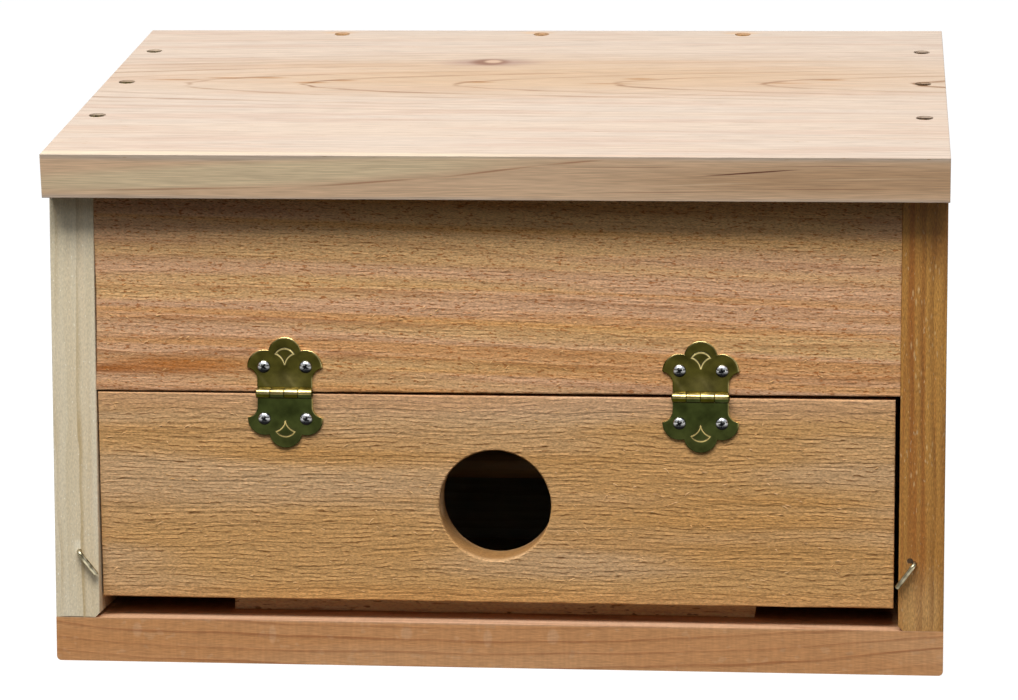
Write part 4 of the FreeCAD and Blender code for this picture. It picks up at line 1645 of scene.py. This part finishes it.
            # The knuckles carry a painted highlight where they look up and forward, and painted shade below
            # and at the joints between them.
            off = more - pin
            facing = (off[:, 2] - self.roll_forward * off[:, 1]) / self.knuckle_radius
            joint = np.abs(off[:, 0] / self.knuckle_length * self.knuckle_count)
            ends = smoothstep(0.0, self.roll_end, np.abs(joint - np.rint(joint)))
            wear_and_painted_light = smoothstep(*self.roll_shade, facing) * ends
            values = np.concatenate([wear_and_light.ravel(), [wear_and_light[0].mean(), 0.0], wear_and_painted_light])
            points = hung(np.concatenate([points, more]), body)
            title = name + leaf.name.lower()
            piece = make_piece(title + "_plate", points, faces, {WEAR_AND_LIGHT: values})
            fit(piece, body, "stamped_brass", brass.material(), title + "_leaf")
        materials = frame["nodes"][name + "pin"].data.materials
        materials.clear()
        materials.append(BRASS.material())


@dataclass
class WireHook:
    """A bent-wire hook: shank in the side's front edge, square bend, arm turned down beside the door."""

    # How far the tip's two rings lie from its end, and how much of the ease they are drawn in.
    TIP_BACK: ClassVar[Span] = (0.1, 0.0)
    TIP_NARROW: ClassVar[Span] = (0.3, 1.0)

    hand: Hand
    body: Body
    wire: float = 2.1
    embed: float = 25.0
    standoff: float = 0.3
    bend: float = 2.0
    arm: float = 12.6
    tip_ease: float = 0.35
    around: int = 28
    shank_rings: int = 12
    bend_rings: int = 14
    arm_rings: int = 13
    cloud: float = 1.3
    cloud_start: float = 300.0
    seed: int = 31

    def build(self) -> None:
        """Makes the hook: a circle carried along the shank, the bend and the arm, drawn in at the tip."""
        node = self.hand.name.lower() + "_hook"
        joint = joint_of(self.body)
        eye = np.array(joint["pos_m"]) / MM
        quarter = np.linspace(0, np.pi / 2, self.bend_rings)
        straight = np.linspace(self.bend, self.arm - self.tip_ease, self.arm_rings + 1)[1:]
        reach = np.concatenate([np.zeros(self.shank_rings), self.bend * (1 - np.cos(quarter)), straight,
                                self.arm - np.array(self.TIP_BACK)])[:, None]
        depth = np.concatenate([np.linspace(self.embed, -self.standoff, self.shank_rings + 1)[:-1],
                                -self.standoff - self.bend * np.sin(quarter),
                                np.full(self.arm_rings + 2, -self.standoff - self.bend)])[:, None]
        heading = np.concatenate([np.zeros(self.shank_rings), quarter,
                                  np.full(self.arm_rings + 2, np.pi / 2)])[:, None]
        radius = np.full(reach.shape, self.wire / 2)
        radius[-2:, 0] -= np.array(self.TIP_NARROW) * self.tip_ease
        turn = circle(self.around)
        offset, aside = radius * np.cos(turn), radius * np.sin(turn)
        along = reach + offset * np.cos(heading)
        y = eye[1] + depth + offset * np.sin(heading)
        fall = math.radians(joint["range_deg"][1])
        x = eye[0] - self.hand.value * (along * math.cos(fall) + aside * math.sin(fall))
        z = eye[2] - along * math.sin(fall) + aside * math.cos(fall)
        points, faces = skin(np.stack([x, y, z], -1)[None])
        wear_and_light = value_noise(points[:, 0] / self.cloud + self.cloud_start, points[:, 2] / self.cloud, self.seed)
        piece = make_piece(node + "_wire", points, faces, {WEAR_AND_LIGHT: wear_and_light})
        fit(piece, self.body, "brass_wire", WIRE.material(), node)


@dataclass
class Studio:
    """A white floor, an open sky that is brighter overhead, one wide soft lamp and the camera."""

    camera_place: Point = (159.54, -1663.73, 324.65)
    yaw: float = -5.655
    pitch: float = 6.883
    roll: float = -0.128
    focal_pixels: float = 3697.27
    image_width: int = 1018
    floor_half: float = 12000.0
    floor_drop: float = 0.2
    floor_white: float = 0.92
    floor_paper: str = "6c6c6c"
    floor_bounce: str = "343432"
    floor_roughness: float = 0.9
    lamp_distance: float = 2300.0
    lamp_height: float = 58.8
    lamp_turn: float = -10.0
    lamp_size: tuple[float, float] = (2000.0, 900.0)
    lamp_watts: float = 70.0
    lamp_aim: Point = (0.0, 0.0, 120.0)
    sky_top: str = "d2d8e8"
    sky_low: str = "c4c4ba"
    sky_blend: Span = (0.0, 0.8)
    sky_rise: Span = (0.16, 0.45)
    horizon: float = 0.08
    sensor_width: float = 36.0
    farthest: float = 100.0

    def build(self) -> None:
        """Makes the floor, the light and the camera."""
        self.floor()
        self.sky()
        self.lamp()
        self.camera()
        bpy.context.scene.view_settings.view_transform = "Standard"

    def floor(self) -> None:
        """A flat square under the box: white to the eye, with the box's shadow, and little bounce."""
        square = np.array([(-1.0, -1.0, 0.0), (1.0, -1.0, 0.0), (1.0, 1.0, 0.0), (-1.0, 1.0, 0.0)])
        corners = (square * self.floor_half - [0.0, 0.0, self.floor_drop]) * MM
        mesh = bpy.data.meshes.new("floor")
        mesh.from_pydata(corners.tolist(), [], [(0, 1, 2, 3)])
        material, tree = new_material("white_paper_floor")
        paths = add(tree, "LightPath").node.outputs
        seen = paths["Is Camera Ray"]
        for ray in ("Is Glossy Ray", "Is Transmission Ray"):
            seen = add(tree, "Math", {0: seen, 1: paths[ray]}, operation="MAXIMUM")
        glow = add(tree, "Math", {0: seen, 1: self.floor_white}, operation="MULTIPLY")
        shades = {0: seen, 6: linear(self.floor_bounce), 7: linear(self.floor_paper)}
        paper = add(tree, "Mix", shades, **COLOURS)
        shader = add(tree, "BsdfPrincipled", {
            "Base Color": paper, "Roughness": self.floor_roughness, "Specular IOR Level": 0.0,
            "Emission Color": linear("ffffff"), "Emission Strength": glow,
        })
        add(tree, "OutputMaterial", {"Surface": shader})
        mesh.materials.append(material)
        floor = bpy.data.objects.new("floor", mesh)
        bpy.context.scene.collection.objects.link(floor)

    def sky(self) -> None:
        """A dome that is dim at the horizon and bright overhead."""
        world = bpy.data.worlds.new("open_sky")
        world.use_nodes = True
        tree = world.node_tree
        tree.nodes.clear()
        way = add(tree, "TexCoord", out="Generated")
        height = add(tree, "SeparateXYZ", {0: way}, out="Z")
        low, high = self.sky_blend
        share = add(tree, "MapRange", {0: height, 1: low, 2: high}, **SMOOTH)
        shades = {0: share, 6: linear(self.sky_low), 7: linear(self.sky_top)}
        colour = add(tree, "Mix", shades, **COLOURS)
        low, high = self.sky_rise
        rise = add(tree, "MapRange", {0: height, 1: low, 2: high, 3: self.horizon, 4: 1.0}, **SMOOTH)
        shader = add(tree, "Background", {"Color": colour, "Strength": rise})
        add(tree, "OutputWorld", {"Surface": shader})
        bpy.context.scene.world = world

    def lamp(self) -> None:
        """One wide soft lamp, high in front, that casts the roof's shadow on the front board."""
        lamp = bpy.data.lights.new("soft_lamp", "AREA")
        lamp.shape = "RECTANGLE"
        lamp.size, lamp.size_y = (s * MM for s in self.lamp_size)
        lamp.energy = self.lamp_watts
        turn, height = math.radians(self.lamp_turn), math.radians(self.lamp_height)
        level = math.cos(height)
        way = Vector((math.sin(turn) * level, -math.cos(turn) * level, math.sin(height)))
        holder = bpy.data.objects.new("soft_lamp", lamp)
        holder.location = (Vector(self.lamp_aim) + way * self.lamp_distance) * MM
        holder.rotation_euler = way.to_track_quat("Z", "Y").to_euler()
        bpy.context.scene.collection.objects.link(holder)

    def camera(self) -> None:
        """The camera at the photograph's place, from its yaw, downward pitch and roll."""
        yaw, pitch, roll = (math.radians(a) for a in (self.yaw, self.pitch, self.roll))
        ahead = Vector((math.sin(yaw) * math.cos(pitch), math.cos(yaw) * math.cos(pitch), -math.sin(pitch)))
        level = Vector((math.cos(yaw), -math.sin(yaw), 0.0))
        upright = level.cross(ahead)
        right = level * math.cos(roll) + upright * math.sin(roll)
        up = upright * math.cos(roll) - level * math.sin(roll)
        lens = bpy.data.cameras.new("camera")
        lens.sensor_width = self.sensor_width
        lens.lens = self.sensor_width * self.focal_pixels / self.image_width
        lens.clip_end = self.farthest
        holder = bpy.data.objects.new("camera", lens)
        turn = Matrix((right, up, -ahead)).transposed().to_4x4()
        holder.matrix_world = Matrix.Translation(Vector(self.camera_place) * MM) @ turn
        bpy.context.scene.collection.objects.link(holder)
        bpy.context.scene.camera = holder


WOOD_SCREW = ScrewForm(
    length=38.1, head=3.7, crown=0.0, edge=0.4, neck=2.64, shank=1.5, point=5.0, pitch=2.8, thread=0.5,
    cross_reach=2.2, cross_half=0.5, cross_depth=1.5,
)
STOP_SCREW = replace(WOOD_SCREW, length=31.75)
PAN_SCREW = ScrewForm(
    length=14.0, head=2.75, crown=1.7, edge=0.0, neck=0.05, shank=1.1, point=3.0, pitch=1.6, thread=0.3,
    cross_reach=1.75, cross_half=0.36, cross_depth=1.0,
)
# The wood round the roof's screws is pressed in, so their heads show nearer the surface.
ROOF_SCREW_RISE = 0.6


def screw_rows() -> list[ScrewRow]:
    """Lists every row of screws, with the way it is driven and its finish.

    Returns:
        The rows, ready to build.
    """
    wood = (WOOD_SCREW, Body.BOX, "zinc_screw")
    rows = [
        ScrewRow("roof_back_screws", 3, Drive.DOWN, *wood, DUSTED_ZINC, ROOF_SCREW_RISE),
        ScrewRow("floor_back_screws", 3, Drive.UP, *wood, ZINC),
        ScrewRow("stop_strip_screws", 2, Drive.UP, STOP_SCREW, Body.BOX, "zinc_screw", ZINC),
    ]
    for side, inward, zinc in (("left", Drive.TO_RIGHT, ZINC), ("right", Drive.TO_LEFT, BROWN_ZINC)):
        rows += [
            ScrewRow(f"roof_{side}_screws", 3, Drive.DOWN, *wood, zinc, ROOF_SCREW_RISE),
            ScrewRow(f"floor_{side}_screws", 3, Drive.UP, *wood, ZINC),
            ScrewRow(f"back_{side}_screws", 2, inward, *wood, ZINC),
            ScrewRow(f"front_{side}_screws", 2, inward, *wood, ZINC),
        ]
        for leaf, body in (("upper", Body.BOX), ("lower", Body.DOOR)):
            node = f"{side}_hinge_{leaf}_screws"
            rows.append(ScrewRow(node, 2, Drive.INWARDS, PAN_SCREW, body, "nickel_screw", NICKEL))
    return rows


UPPER_FACE = SawnFace(spacing=1.8, groove_depth=0.10, broken_long=4.0, broken_start=0.4, wander=3.0,
                      fibre_height=0.12, swell=0.10, seed=11)
DOOR_FACE = SawnFace(spacing=2.25, groove_depth=0.12, broken_long=9.5, jitter=1.3, jitter_long=7.0,
                     fibre_height=0.10, swell=0.10, seed=23)
OFFCUT_FACE = SawnFace(spacing=3.0, groove_depth=0.5, broken_start=0.35, seed=41)
ENTRANCE = Hole(x=0.0, z=69.6, radius=24.0)
# No fibres stand where the hinges lie: x, z and radius.
HINGE_ROOM = tuple((x, z, 19.0) for x in (-89.5, 87.7) for z in (129.0, 107.0))


def main() -> None:
    """Builds the sub-assemblies in order and reports each piece."""
    logging.basicConfig(level=logging.INFO, format="%(message)s")
    PlanedBoards().dress()
    SawnBoard("upper_front_sawn", "upper_front_board", Body.BOX, "sawn_cedar", UPPER_FACE, SAWN_CEDAR,
              low_rise_right=0.85, top_drop=3.324).build()
    SawnBoard("door_sawn", "door_board", Body.DOOR, "sawn_cedar_tan", DOOR_FACE, SAWN_TAN_CEDAR,
              top_drop=-STOCK * math.tan(DOOR_LEAN), hole=ENTRANCE).build()
    SawnBoard("door_stop_sawn", "door_stop_strip", Body.BOX, "sawn_cedar_tan", OFFCUT_FACE, SAWN_OFFCUT,
              end_slant=3.5, ease=0.8).build()
    Splinters("upper_front_fibres", "upper_front_board", Body.BOX, "sawn_cedar", TORN_FIBRE,
              count=420, seed=5, longest=3.0, keep_off=HINGE_ROOM).build()
    Splinters("door_fibres", "door_board", Body.DOOR, "sawn_cedar_tan", TORN_FIBRE, count=380, seed=6,
              keep_off=HINGE_ROOM + ((ENTRANCE.x, ENTRANCE.z, ENTRANCE.radius + 2),)).build()
    Perches().build()
    for row in screw_rows():
        row.build()
    for hand, body in ((Hand.LEFT, Body.HOOK_LEFT), (Hand.RIGHT, Body.HOOK_RIGHT)):
        Hinge(hand).build()
        WireHook(hand, body).build()
    Studio().build()


if __name__ == "__main__":
    main()
